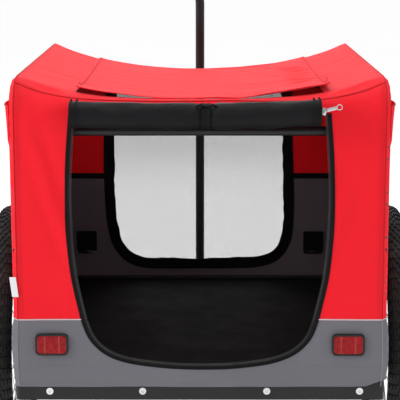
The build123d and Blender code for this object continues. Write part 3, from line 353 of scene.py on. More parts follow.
def lens_material(name, colour, deep):
    """Clear moulded plastic over prisms."""
    material, tree, shader, coords = new_material(name, Coat_Weight=0.35, Coat_Roughness=0.05,
                                                  Specular_IOR_Level=0.35)
    cells = put(tree, "TexVoronoi", {"Vector": coords["Object"], "Scale": 420.0}).outputs
    glint = ramp(tree, cells["Distance"], 0.15, 0.6)
    tree.links.new(blend(tree, glint, (*colour, 1), (*deep, 1)), shader.inputs["Base Color"])
    tree.links.new(ramp(tree, glint, 0, 1, 0.12, 0.28), shader.inputs["Roughness"])
    bump(tree, shader, glint, 0.3, 0.0004)
    return material


def floor_material():
    material, tree, shader, coords = new_material("pale_floor", Specular_IOR_Level=0.2,
                                                  Emission_Strength=0.52,
                                                  Emission_Color=(1, 1, 1, 1))
    soft = put(tree, "TexNoise", {"Vector": coords["Object"], "Scale": 1.5, "Detail": 2.0}).outputs[0]
    tree.links.new(blend(tree, ramp(tree, soft, 0.3, 0.7), (0.74, 0.74, 0.74, 1), (0.76, 0.76, 0.76, 1)),
                   shader.inputs["Base Color"])
    tree.links.new(ramp(tree, soft, 0.3, 0.7, 0.75, 0.85), shader.inputs["Roughness"])
    return material


RED = cloth_material("red_polyester", (0.86, 0.014, 0.026), (0.64, 0.006, 0.013), 0.0011, through=0.22)
# Seam cords and pocket rims: the cloth's red darkened, as painted shade in the seams' creases and along the
# pockets' rims.
RED_SEAM_PAINTED_SHADE = cloth_material("red_seam_painted_shade", (0.52, 0.009, 0.015), (0.34, 0.005, 0.009), 0.0006, space="Object")
RED_THREAD = cloth_material("red_thread", (0.62, 0.03, 0.045), (0.40, 0.012, 0.02), 0.0004, space="Object")
GREY = cloth_material("grey_polyester", (0.165, 0.163, 0.182), (0.095, 0.094, 0.106), 0.0011, through=0.12)
GREY_THREAD = cloth_material("grey_thread", (0.24, 0.24, 0.26), (0.13, 0.13, 0.14), 0.0004, space="Object")
PALE_SEAM = cloth_material("pale_seam", (0.62, 0.50, 0.52), (0.42, 0.32, 0.34), 0.0006, space="Object")
BLACK = cloth_material("black_polyester", (0.0085, 0.0088, 0.0100), (0.0030, 0.0031, 0.0035), 0.0011,
                       rough=0.50, sheen=0.0)
BINDING = cloth_material("black_binding", (0.0065, 0.0065, 0.0075), (0.0025, 0.0025, 0.0030), 0.0009,
                         rough=0.6, sheen=0.0)
TAPE = cloth_material("zip_tape", (0.013, 0.013, 0.014), (0.005, 0.005, 0.0055), 0.0008, rough=0.5, sheen=0.0)
LABEL = cloth_material("white_label", (0.78, 0.78, 0.80), (0.60, 0.60, 0.62), 0.0005, rough=0.5)
NET = net_material("window_net", (0.050, 0.050, 0.052), 0.0015, 0.166)
# The roof net is near black, darker than the window net: painted shade under the roof cover.
ROOF_NET_PAINTED_SHADE = net_material("roof_net_painted_shade", (0.012, 0.012, 0.013), 0.0020, 0.16)
COIL = hard_material("zip_coil", (0.016, 0.016, 0.017), (0.05, 0.05, 0.05), 0.35, marks=0.3, dust=0.0)
PAINT = hard_material("black_powder_paint", (0.008, 0.008, 0.009), (0.018, 0.018, 0.019), 0.36,
                      coat=0.05, gloss=0.25,
                      grain=0.25, grain_size=0.0016, marks=0.3, dust=0.04)
PLASTIC = hard_material("black_moulded_plastic", (0.010, 0.010, 0.011), (0.024, 0.024, 0.024), 0.48,
                        grain=0.5, grain_size=0.0011, dust=0.04, gloss=0.25)
RUBBER = hard_material("black_rubber", (0.018, 0.018, 0.018), (0.05, 0.048, 0.045), 0.72, grain=0.35,
                       dust=0.3)
TREAD = hard_material("tyre_rubber", (0.011, 0.011, 0.012), (0.032, 0.030, 0.028), 0.66, grain=0.3,
                      grain_size=0.0009, marks=0.5, dust=0.06, gloss=0.2)
STEEL = hard_material("bright_steel", (0.62, 0.62, 0.63), (0.42, 0.41, 0.40), 0.30, metal=1.0, grain=0.08,
                      marks=0.7, dust=0.08)
ALLOY = hard_material("satin_alloy", (0.58, 0.58, 0.60), (0.40, 0.40, 0.41), 0.38, metal=1.0, grain=0.12,
                      marks=0.6, dust=0.12)
BOARD = hard_material("pressed_board", (0.050, 0.036, 0.026), (0.085, 0.062, 0.045), 0.72, grain=0.6,
                      grain_size=0.0022, dust=0.2)
MAT = hard_material("floor_mat", (0.0055, 0.0055, 0.0062), (0.010, 0.010, 0.0105), 0.80, grain=0.8,
                    grain_size=0.0024, dust=0.01, marks=0.2, gloss=0.12)
LENS_RED = lens_material("red_reflector", (0.50, 0.004, 0.008), (0.24, 0.002, 0.004))
LENS_CLEAR = lens_material("clear_reflector", (0.66, 0.67, 0.68), (0.34, 0.35, 0.36))
floor.data.materials.append(floor_material())


# ------------------------------------------------------------------ the surface the hoops carry
def dip(x, along):
    """How far the roof hangs under the hoops' top; along runs from -1 at the back to 1 at the front."""
    share = min(abs(x) / POST_X, 1.0)
    open_roof = mix(0.038, 0.058, (along + 1) / 2) * (1 - share ** 2.6)
    at_door = 0.034 * (1 - share ** 5)
    return mix(open_roof, at_door, smooth((-along - 0.82) / 0.18))


def hoop_point(s):
    """Point and outward direction on a hoop's centre line, as (y, z) pairs, s along the cloth's path."""
    if s > PATH / 2:
        (y, z), (ny, nz) = hoop_point(PATH - s)
        return (-y, z), (-ny, nz)
    if s <= STRAIGHT:
        return (-POST_Y, s), (-1.0, 0.0)
    if s <= STRAIGHT + ARC:
        a = (s - STRAIGHT) / ARC * math.pi / 2
        ny, nz = -math.cos(a), math.sin(a)
        return (-POST_Y + BEND + BEND * ny, STRAIGHT + BEND * nz), (ny, nz)
    return (-POST_Y + BEND + (s - STRAIGHT - ARC), BAR_TOP), (0.0, 1.0)


def drawn_cloth(u, s):
    """The cabin's cloth before its creases: u across, s up the back, over the roof and down the front."""
    side = 1 if u >= 0 else -1
    if abs(u) > POST_X:
        turn = (abs(u) - POST_X) / WRAP
        (y, z), (ny, nz) = hoop_point(s)
        out = WRAP * math.cos(turn)
        return Vector((side * (POST_X + WRAP * math.sin(turn)), y + ny * out + MIDDLE_Y, z + nz * out))
    inward = smooth((POST_X - abs(u)) / 0.11)
    radius = mix(CORNER, 0.020, inward)
    end = -1 if s <= PATH / 2 else 1
    run = s if end < 0 else PATH - s
    peak = BAR_TOP + WRAP - dip(u, end)
    if run <= STRAIGHT:
        start = STRAIGHT - 0.12
        z = run if run < start else start + (run - start) * (peak - radius - start) / 0.12
        y = WALL_Y
    elif run <= STRAIGHT + ARC:
        a = (run - STRAIGHT) / ARC * math.pi / 2
        y, z = WALL_Y - radius + radius * math.cos(a), peak - radius + radius * math.sin(a)
    else:
        t = (run - STRAIGHT - ARC) / (ROOF_RUN / 2)
        y = (WALL_Y - radius) * (1 - t)
        z = BAR_TOP + WRAP - dip(u, end * y / WALL_Y)
    return Vector((u, end * y + MIDDLE_Y, z))


def tube_share(p):
    """1 where the cloth hangs free, 0 where a hoop's tube holds it."""
    return smooth((POST_X - abs(p.x) - 0.004) / 0.05)


def creases(p):
    """Height of the cloth's folds at a point, outwards."""
    free = 0.15 + 0.85 * tube_share(p)
    if p.z > 0.70 and abs(p.y - MIDDLE_Y) < WALL_Y - 0.03:
        long_folds = noise.noise(Vector((p.x * 5.0, p.y * 26.0, 3.0))) * 0.0016
        slow = noise.noise(Vector((p.x * 7.0, p.y * 7.0, 8.0))) * 0.0016
        return (long_folds + slow) * free
    wide = noise.noise(Vector((p.x * 6.0, p.y * 6.0, p.z * 4.0))) * 0.0048
    narrow = noise.noise(Vector((p.x * 16.0 + p.z * 9.0, p.y * 18.0, p.z * 14.0))) * 0.0015
    drag = 0.0
    if p.y < MIDDLE_Y - WALL_Y + 0.03 and p.z > SEAM_REAR:
        across = abs(p.x) - 0.235 - (p.z - 0.55) * 0.33
        drag = 0.0028 if p.x < 0 else 0.0020
        drag *= math.cos(across * 150) * math.exp(-(across / 0.032) ** 2)
        drag *= smooth((p.z - 0.44) / 0.08) * smooth((0.735 - p.z) / 0.05)
    return (wide + narrow + drag) * free


def skirt_bulge(p):
    """The grey skirt stands out under its seam and comes back in at the hem."""
    if p.z >= SEAM_REAR:
        return 0.0
    t = (SEAM_REAR - p.z) / (SEAM_REAR - HEM)
    swell = math.sin(math.pi * min(t * 1.05, 1.0)) ** 0.8 * (0.0045 + 0.0032 * noise.noise(p * 6.0))
    held = math.exp(-((abs(p.x) - 0.249) / 0.04) ** 2 - ((p.z - 0.331) / 0.03) ** 2)
    return swell * (1 - 0.75 * held) + 0.0020 * noise.noise(p * 15.0) * smooth(t * 6)


def lay(place, u, v, lift=0.0, step=0.0015):
    """A point on the creased cloth, lifted outwards off it."""
    p = place(u, v)
    du = place(u + step, v) - place(u - step, v)
    dv = place(u, v + step) - place(u, v - step)
    normal = du.cross(dv)
    middle = Vector((0, MIDDLE_Y, 0.5))
    if normal.dot(p - middle) < 0:
        normal = -normal
    normal.normalize()
    return p + normal * (creases(p) * smooth((p.z - 0.25) / 0.03) + skirt_bulge(p) + lift)


def side_cloth(side):
    """The map of one side wall: y and z on the flat, wrapped round the hoop past its centre line."""
    def place(y, z):
        cy, cz = POST_Y - BEND, BAR_TOP - BEND
        ay, az = abs(y), z
        sign = 1 if y >= 0 else -1
        if ay > cy and az > cz:
            r = math.hypot(ay - cy, az - cz)
            d = r - BEND
            ny, nz = ((ay - cy) / r, (az - cz) / r) if r > 1e-9 else (1.0, 0.0)
        elif az - BAR_TOP > ay - POST_Y:
            d, ny, nz = az - BAR_TOP, 0.0, 1.0
        else:
            d, ny, nz = ay - POST_Y, 1.0, 0.0
        if d <= 0:
            return Vector((side * WALL_X, y + MIDDLE_Y, z))
        turn = min(d / WRAP, math.pi / 2)
        foot_y, foot_z = ay - ny * d, az - nz * d
        out = WRAP * math.sin(turn)
        return Vector((side * (POST_X + WRAP * math.cos(turn)),
                       sign * (foot_y + ny * out) + MIDDLE_Y, foot_z + nz * out))
    return place


def front_cloth(x, z):
    return drawn_cloth(x, PATH - z)


# ------------------------------------------------------------------ mesh helpers
def make(name, verts, faces, material, uvs=None, edges=()):
    mesh = bpy.data.meshes.new(name)
    mesh.from_pydata([tuple(v) for v in verts], edges, faces)
    if uvs is not None:
        layer = mesh.uv_layers.new(name="cut")
        for loop in mesh.loops:
            layer.data[loop.index].uv = uvs[loop.vertex_index]
    mesh.materials.append(material)
    obj = bpy.data.objects.new(name, mesh)
    scene.collection.objects.link(obj)
    return obj


def activate(obj):
    deselect()
    obj.select_set(True)
    bpy.context.view_layer.objects.active = obj


def apply(obj, kind, **settings):
    activate(obj)
    modifier = obj.modifiers.new(kind.lower(), kind)
    for key, value in settings.items():
        setattr(modifier, key, value)
    bpy.ops.object.modifier_apply(modifier=modifier.name)


def shade(obj, degrees=40):
    activate(obj)
    bpy.ops.object.shade_smooth_by_angle(angle=math.radians(degrees))


def walk(points, step, closed=True):
    """Points along a line, about step apart, its corners kept."""
    out = []
    ends = points[1:] + (points[:1] if closed else [])
    for a, b in zip(points, ends):
        n = max(1, round(math.dist(a, b) / step))
        out += [tuple(mix(p, q, i / n) for p, q in zip(a, b)) for i in range(n)]
    return out if closed else out + [tuple(points[-1])]


def inside(points, loop):
    """Which of the points lie in a closed loop."""
    x, y = points[:, 0], points[:, 1]
    found = np.zeros(len(points), bool)
    ring = np.array(loop)
    for (x0, y0), (x1, y1) in zip(ring, np.roll(ring, -1, axis=0)):
        if y0 == y1:
            continue
        crosses = (y0 > y) != (y1 > y)
        found ^= crosses & (x < x0 + (y - y0) * (x1 - x0) / (y1 - y0))
    return found


def cut_pattern(loops, step):
    """Even triangles over a flat shape with holes."""
    dense = [walk(loop, step) for loop in loops]
    coords = [p for loop in dense for p in loop]
    edges, start = [], 0
    for loop in dense:
        edges += [(start + i, start + (i + 1) % len(loop)) for i in range(len(loop))]
        start += len(loop)
    ring = np.array(coords)
    low, high = ring.min(0), ring.max(0)
    rows = np.arange(low[1] + step / 2, high[1], step * 0.87)
    grid = np.array([(x + (step / 2 if i % 2 else 0), y) for i, y in enumerate(rows)
                     for x in np.arange(low[0] + step / 2, high[0], step)])
    good = inside(grid, dense[0])
    for hole in dense[1:]:
        good &= ~inside(grid, hole)
    grid = grid[good]
    away = np.ones(len(grid), bool)
    for p in ring:
        away &= ((grid - p) ** 2).sum(1) > (0.55 * step) ** 2
    coords += [tuple(p) for p in grid[away]]
    verts, _, faces, *_ = geometry.delaunay_2d_cdt([Vector(p) for p in coords], edges, [], 0, 1e-7)
    flat = np.array([tuple(v) for v in verts])
    centres = np.array([flat[list(f)].mean(0) for f in faces])
    keep = inside(centres, dense[0])
    for hole in dense[1:]:
        keep &= ~inside(centres, hole)
    return [tuple(p) for p in flat], [tuple(f) for f, k in zip(faces, keep) if k]


def face_out(obj, middle=None):
    """Turns a sheet's faces so that they look away from the cabin's middle."""
    middle = middle or Vector((0, MIDDLE_Y, 0.45))
    total = sum(p.area * p.normal.dot(p.center - middle) for p in obj.data.polygons)
    if total < 0:
        obj.data.flip_normals()


def sheet_from(name, loops, place, material, step=0.011, lift=0.0, thick=CLOTH):
    """A cut piece of cloth: a flat pattern laid on its surface and given its thickness inwards."""
    flat, faces = cut_pattern(loops, step)
    rise = lift if callable(lift) else (lambda u, v: lift)
    obj = make(name, [lay(place, u, v, rise(u, v)) for u, v in flat], faces, material, flat)
    face_out(obj)
    if thick:
        apply(obj, "SOLIDIFY", thickness=thick, offset=-1.0)
    shade(obj, 50)
    return obj


def tube(name, points, radius, material, sides=8):
    """A cord or piping along a line of points."""
    points = [Vector(p) for p in points]
    n = len(points)
    verts, faces, uvs = [], [], []
    across = None
    length = 0.0
    for i, p in enumerate(points):
        before = points[i - 1] if i else p
        after = points[i + 1] if i < n - 1 else p
        along = (after - before).normalized()
        if across is None:
            across = along.orthogonal().normalized()
        across = (across - along * across.dot(along)).normalized()
        other = along.cross(across)
        length += (p - points[i - 1]).length if i else 0
        for k in range(sides):
            a = 2 * math.pi * k / sides
            verts.append(p + (across * math.cos(a) + other * math.sin(a)) * radius)
            uvs.append((length, k / sides * 2 * math.pi * radius))
    for i in range(n - 1):
        for k in range(sides):
            a, m = i * sides, (k + 1) % sides
            faces.append((a + k, a + m, a + sides + m, a + sides + k))
    faces += [tuple(range(sides))[::-1], tuple((n - 1) * sides + k for k in range(sides))]
    obj = make(name, verts, faces, material, uvs)
    shade(obj, 60)
    return obj


def ribbon(name, line, material, place, inner, outer, lift, thick=0.0016, closed=False, step=0.008, wavy=0.0):
    """A band that follows a flat line on the cloth, from inner to outer beside it."""
    line = walk(line, step, closed)
    n = len(line)
    verts, faces, uvs = [], [], []
    columns = 4
    length = 0.0
    for i, (u, v) in enumerate(line):
        a = line[(i - 1) % n] if closed or i else line[i]
        b = line[(i + 1) % n] if closed or i < n - 1 else line[i]
        size = math.dist(a, b)
        nu, nv = (b[1] - a[1]) / size, -(b[0] - a[0]) / size
        length += math.dist(line[i - 1], line[i]) if i else 0
        sway = wavy * noise.noise(Vector((u * 45, v * 45, 1.0)))
        for k in range(columns):
            off = mix(inner + sway, outer, k / (columns - 1))
            verts.append(lay(place, u + nu * off, v + nv * off, lift))
            uvs.append((length, off))
    for i in range(n if closed else n - 1):
        j = (i + 1) % n
        for k in range(columns - 1):
            a, b = i * columns + k, j * columns + k
            faces.append((a, b, b + 1, a + 1))
    obj = make(name, verts, faces, material, uvs)
    face_out(obj)
    apply(obj, "SOLIDIFY", thickness=thick, offset=-1.0)
    shade(obj, 50)
    return obj


STITCH_PITCH, STITCH_LENGTH, STITCH_HALF_WIDTH = 0.0042, 0.0027, 0.0005


def stitches(name, line, material, place, lift=0.0004):
    """A row of sewn stitches along a flat line on the cloth; each is a short thread sunk at both ends."""
    line = walk(line, STITCH_PITCH, False)
    verts, faces = [], []
    for a, b in zip(line, line[1:]):
        share = STITCH_LENGTH / max(math.dist(a, b), 1e-6)
        start = lay(place, *a)
        ends = [lay(place, *(mix(p, q, t) for p, q in zip(a, b)), rise)
                for t, rise in ((0, -0.0002), (share * 0.25, lift), (share * 0.75, lift), (share, -0.0002))]
        along = (ends[3] - ends[0]).normalized()
        up = (lay(place, *a, 0.002) - start).normalized()
        across = along.cross(up).normalized() * STITCH_HALF_WIDTH
        base = len(verts)
        for p in ends:
            verts += [p + across, p + up * STITCH_HALF_WIDTH, p - across]
        for i in range(3):
            q = base + 3 * i
            faces += [(q, q + 3, q + 4, q + 1), (q + 1, q + 4, q + 5, q + 2), (q + 2, q + 5, q + 3, q)]
        faces += [(base, base + 1, base + 2), (base + 11, base + 10, base + 9)]
    obj = make(name, verts, faces, material)
    mend(obj)
    return obj


def mend(obj):
    """Turns every face outwards."""
    activate(obj)
    bpy.ops.object.mode_set(mode="EDIT")
    bpy.ops.mesh.select_all(action="SELECT")
    bpy.ops.mesh.normals_make_consistent(inside=False)
    bpy.ops.object.mode_set(mode="OBJECT")


def join(name, pieces):
    deselect()
    for p in pieces:
        p.select_set(True)
    bpy.context.view_layer.objects.active = pieces[0]
    bpy.ops.object.join()
    pieces[0].name = name
    return pieces[0]


# ------------------------------------------------------------------ riding and cutting at the hinges
def sink(piece):
    """Gives the piece its own copy of its mesh."""
    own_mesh(piece)


def half_of(obj, name, upper):
    """A copy of the piece, cut off at the hinges' height."""
    copy = obj.copy()
    copy.data = obj.data.copy()
    copy.name = name
    scene.collection.objects.link(copy)
    activate(copy)
    bpy.ops.object.mode_set(mode="EDIT")
    bpy.ops.mesh.select_all(action="SELECT")
    bpy.ops.mesh.bisect(plane_co=(0, 0, HINGE_Z), plane_no=(0, 0, 1), clear_inner=upper,
                        clear_outer=not upper, use_fill=faces_two_ways(obj))
    bpy.ops.object.mode_set(mode="OBJECT")
    shade(copy, 50)
    return copy


def faces_two_ways(piece):
    """Whether a sheet has its thickness, and so a face on each side."""
    return piece.data.materials[0] not in (NET, ROOF_NET_PAINTED_SHADE)


def settle(piece, nodes=()):
    """Puts a soft piece on the chassis; its part above the hinges is cut off and given its own mesh."""
    z = [v.co.z for v in piece.data.vertices]
    if max(z) <= HINGE_Z + 1e-5 or min(z) >= HINGE_Z - 1e-5:
        parts = [piece]
    else:
        name = piece.name
        parts = [half_of(piece, name + "_upper", True), half_of(piece, name + "_lower", False)]
        bpy.data.objects.remove(piece)
    for part in parts:
        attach(part, "chassis")
        if nodes:
            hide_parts(*nodes)
        if min(v.co.z for v in part.data.vertices) >= HINGE_Z - 1e-5:
            sink(part)
    return parts


def fix(piece, body, finish, *nodes):
    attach(piece, body)
    if nodes:
        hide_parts(*nodes)
    return piece


# ------------------------------------------------------------------ outlines
def spline(points, per=6):
    """A smooth line through points."""
    out = []
    p = [points[0]] + list(points) + [points[-1]]
    for a, b, c, d in zip(p, p[1:], p[2:], p[3:]):
        for i in range(per):
            t = i / per
            out.append(tuple(0.5 * ((2 * y) + (z - x) * t + (2 * x - 5 * y + 4 * z - w) * t * t
                                    + (3 * y - x - 3 * z + w) * t ** 3) for x, y, z, w in zip(a, b, c, d)))
    return out + [tuple(points[-1])]


def rounded(x0, x1, z0, z1, radius, turns=8):
    """A rectangle with round corners, anticlockwise from the lower right."""
    out = []
    for cx, cz, start in ((x1 - radius, z0 + radius, -90), (x1 - radius, z1 - radius, 0),
                          (x0 + radius, z1 - radius, 90), (x0 + radius, z0 + radius, 180)):
        for i in range(turns + 1):
            a = math.radians(start + 90 * i / turns)
            out.append((cx + radius * math.cos(a), cz + radius * math.sin(a)))
    return out


def grow(loop, by):
    """A closed anticlockwise loop moved outwards."""
    out = []
    for i, (x, z) in enumerate(loop):
        (ax, az), (bx, bz) = loop[i - 1], loop[(i + 1) % len(loop)]
        size = math.hypot(bx - ax, bz - az)
        out.append((x + by * (bz - az) / size, z - by * (bx - ax) / size))
    return out


DOOR_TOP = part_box("rear_zip")[1].z
DOOR_SEAM = 0.198
DOOR_UPPER = spline([(0.213, DOOR_TOP), (0.2195, 0.635), (0.221, 0.547), (0.2145, 0.455),
                     (DOOR_SEAM, SEAM_REAR)])
DOOR_LOWER = spline([(DOOR_SEAM, SEAM_REAR), (0.184, 0.340), (0.158, 0.3145), (0.118, 0.2995), (0.062, 0.292),
                     (0.0, 0.290)])


def mirrored(points):
    return [(-x, z) for x, z in points]


DOOR_LINE = mirrored(DOOR_UPPER)[:-1] + mirrored(DOOR_LOWER) + DOOR_LOWER[::-1][1:-1] + DOOR_UPPER[::-1]
WINDOW_RIGHT = spline([(0.0, 0.298), (0.070, 0.298), (0.118, 0.2995), (0.155, 0.310), (0.176, 0.336),
                       (0.183, 0.375), (0.184, 0.44), (0.1815, 0.52), (0.179, 0.60), (0.178, 0.664)], 4)
WINDOW_LEFT = spline([(-0.182, 0.664), (-0.186, 0.60), (-0.188, 0.52), (-0.1865, 0.44), (-0.181, 0.375),
                      (-0.170, 0.334), (-0.148, 0.309), (-0.115, 0.2995), (-0.070, 0.298), (0.0, 0.298)], 4)
WINDOW = WINDOW_RIGHT + [(0.172, 0.682), (0.160, 0.690), (-0.164, 0.690), (-0.176, 0.682)] + WINDOW_LEFT[:-1]
SIDE_WINDOW = rounded(-0.275, 0.275, 0.505, 0.705, 0.045)
HATCH_S = (STRAIGHT + ARC + 0.022, ROOF_END - 0.055)


def open_at(loop, level, above):
    """The part of a closed loop above or below a level, as one line that starts on the level at the right."""
    n = len(loop)
    flags = [(z > level) == above for _, z in loop]
    start = next(i for i in range(n) if flags[i] and not flags[i - 1])
    kept = []
    for i in range(n):
        k = (start + i) % n
        if not flags[k]:
            break
        kept.append(loop[k])

    def cross(a, b):
        t = (level - a[1]) / (b[1] - a[1])
        return (mix(a[0], b[0], t), level)
    first = cross(loop[start - 1], kept[0])
    last = cross(kept[-1], loop[(start + len(kept)) % n])
    line = [first] + kept + [last]
    return line if line[0][0] > line[-1][0] else line[::-1]


# ------------------------------------------------------------------ cloth panels
def hem_at(u):
    """The hem rides up at the right-hand rear corner."""
    return HEM + HEM_CLEAR + 0.013 * smooth((u - 0.272) / 0.045)


def rear_panels():
    upper = [(-EDGE_U, SEAM_REAR), (-EDGE_U, ROOF_START), (EDGE_U, ROOF_START), (EDGE_U, SEAM_REAR)]
    upper += DOOR_UPPER[::-1] + mirrored(DOOR_UPPER)
    settle(sheet_from("rear_wall", [upper], drawn_cloth, RED), ["canopy_rear"])
    lower = [(EDGE_U, SEAM_REAR), (EDGE_U, hem_at(EDGE_U))]
    lower += [(mix(EDGE_U, -EDGE_U, i / 24), hem_at(mix(EDGE_U, -EDGE_U, i / 24))) for i in range(1, 24)]
    lower += [(-EDGE_U, HEM + HEM_CLEAR), (-EDGE_U, SEAM_REAR)]
    lower += mirrored(DOOR_LOWER) + DOOR_LOWER[::-1][1:]
    settle(sheet_from("rear_skirt", [lower], drawn_cloth, GREY, 0.009), ["skirt_rear"])


def side_outline():
    """A side wall's edge from its front seam over the top to its back seam, on the flat."""
    reach = WRAP * (math.pi / 2 - SEAM_TURN)
    y, z, r = POST_Y + reach, BAR_TOP + reach, BEND + reach
    corner = [(-y + r - r * math.cos(a), z - r + r * math.sin(a))
              for a in (math.radians(90 * i / 12) for i in range(13))]
    return corner + [(-py, pz) for py, pz in corner[::-1]], y


def side_panels():
    over, reach = side_outline()
    for side, name in ((-1, "left"), (1, "right")):
        place = side_cloth(side)
        rear, front = SEAM_REAR, SEAM_FRONT
        seam = [(mix(reach, -reach, i / 20), mix(front, rear, i / 20)) for i in range(21)]
        wall = [(-reach, rear)] + over + seam[:-1]
        settle(sheet_from(name + "_wall", [wall, SIDE_WINDOW], place, RED),
               ["canopy_sides"])
        low, corner = HEM + HEM_CLEAR, hem_at(EDGE_U * side)
        hem = [(mix(-reach, reach, i / 20), corner if i == 0 else low + (corner - low) * (1 - smooth(i / 3)))
               for i in range(21)]
        settle(sheet_from(name + "_skirt", [seam[::-1] + hem[::-1]], place, GREY),
               ["skirt_sides"])
        settle(ribbon(name + "_window_band", SIDE_WINDOW, BINDING, place, -0.014, 0.006, 0.0009, 0.0034,
                      True),
               ["windows"])
        inner = rounded(-0.269, 0.269, 0.511, 0.699, 0.040)
        settle(sheet_from(name + "_window", [inner], place, NET, 0.014, -0.0006, 0),
               ["windows"])
        sewn = rounded(-0.279, 0.279, 0.501, 0.709, 0.049)
        settle(stitches(name + "_window_stitches", sewn, BINDING, place, 0.0012))


def front_panels():
    upper = [(-EDGE_U, SEAM_FRONT), (-EDGE_U, ROOF_START), (EDGE_U, ROOF_START), (EDGE_U, SEAM_FRONT)]
    settle(sheet_from("front_wall", [upper + open_at(WINDOW, SEAM_FRONT, True)], front_cloth, RED),
           ["canopy_front"])
    hem = HEM + HEM_CLEAR
    lower = [(-EDGE_U, SEAM_FRONT), (-EDGE_U, hem), (EDGE_U, hem), (EDGE_U, SEAM_FRONT)]
    settle(sheet_from("front_skirt", [lower + open_at(WINDOW, SEAM_FRONT, False)], front_cloth, GREY),
           ["skirt_front"])
    settle(ribbon("front_window_band", WINDOW, BINDING, front_cloth, -0.0015, 0.0215, 0.0010, 0.0038, True,
                  wavy=0.0035), ["windows"])
    settle(sheet_from("front_window", [grow(WINDOW, 0.006)], front_cloth, NET, 0.014, -0.0008, 0),
           ["windows"])
    settle(stitches("front_window_stitches", grow(WINDOW, 0.0195), BINDING, front_cloth, 0.0013))
    for side, tag in ((-1, "left"), (1, "right")):
        near, far, low, high = side * (0.2055 if side < 0 else 0.2025), side * 0.2995, 0.4785, 0.4905
        tape = [(near, low), (far, low), (far, high), (near, high)]
        settle(sheet_from(tag + "_inner_tape", [tape], front_cloth, BINDING, 0.010, -CLOTH - 0.0006, 0.0012))


def flap_lift(u, s):
    """The roof cover lies on the roof, and its loose rear corners stand up."""
    loose = math.exp(-((s - HATCH_S[0]) / 0.050))
    corner = smooth((abs(u) - 0.050) / 0.15)
    high = 0.0120 if u > 0 else 0.0070
    edge = smooth((0.222 - abs(u - 0.005)) / 0.02)
    pleats = 0.0
    if u > 0.05:
        near = math.exp(-((u - 0.182) / 0.030) ** 2) * smooth((s - 0.95) / 0.06) * smooth((1.36 - s) / 0.1)
        pleats = 0.0022 * math.sin((u * 0.8 + s) * 2 * math.pi / 0.052) * near
    flutter = 0.0012 * noise.noise(Vector((u * 22, s * 4, 5.0))) * loose
    return 0.0022 + high * corner * loose + pleats * edge + flutter + 0.0009 * (1 - edge)


def roof_panels():
    # The hatch and its near-black net reach out to the cover's corners: a dark sheet as painted shade under the
    # cover's raised edge.
    hatch = [(-0.206, HATCH_S[0]), (0.206, HATCH_S[0]), (0.206, HATCH_S[1]), (-0.206, HATCH_S[1])]
    roof = [(-EDGE_U, ROOF_START), (EDGE_U, ROOF_START), (EDGE_U, ROOF_END), (-EDGE_U, ROOF_END)]
    settle(sheet_from("roof", [roof, hatch], drawn_cloth, RED, 0.010), ["canopy_roof"])
    grown = [(-0.209, HATCH_S[0] - 0.004), (0.209, HATCH_S[0] - 0.004), (0.209, HATCH_S[1] + 0.004),
             (-0.209, HATCH_S[1] + 0.004)]
    settle(sheet_from("roof_net_painted_shade", [grown], drawn_cloth, ROOF_NET_PAINTED_SHADE, 0.014, -0.0022, 0),
           ["roof_mesh"])
    start, end = HATCH_S[0] - 0.003, ROOF_END - 0.010
    dipped = [(mix(-0.207, 0.219, i / 16), start - 0.012 * math.sin(math.pi * i / 16)) for i in range(17)]
    cover = dipped + [(0.222, end), (-0.214, end)]
    settle(sheet_from("roof_cover_flap", [cover], drawn_cloth, RED, 0.009, flap_lift, 0.0014),
           ["roof_cover"])
    inner = [(x * 0.972, s + 0.007) for x, s in dipped]
    sewn = [(-0.2085, end)] + inner + [(0.2165, end)]
    line = stitches("roof_cover_stitches", sewn, RED_THREAD,
                    lambda u, s: drawn_cloth(u, s), 0.0006)
    for v in line.data.vertices:
        v.co.z += flap_lift(v.co.x, STRAIGHT + ARC + (v.co.y - MIDDLE_Y + POST_Y - BEND))
    settle(line)


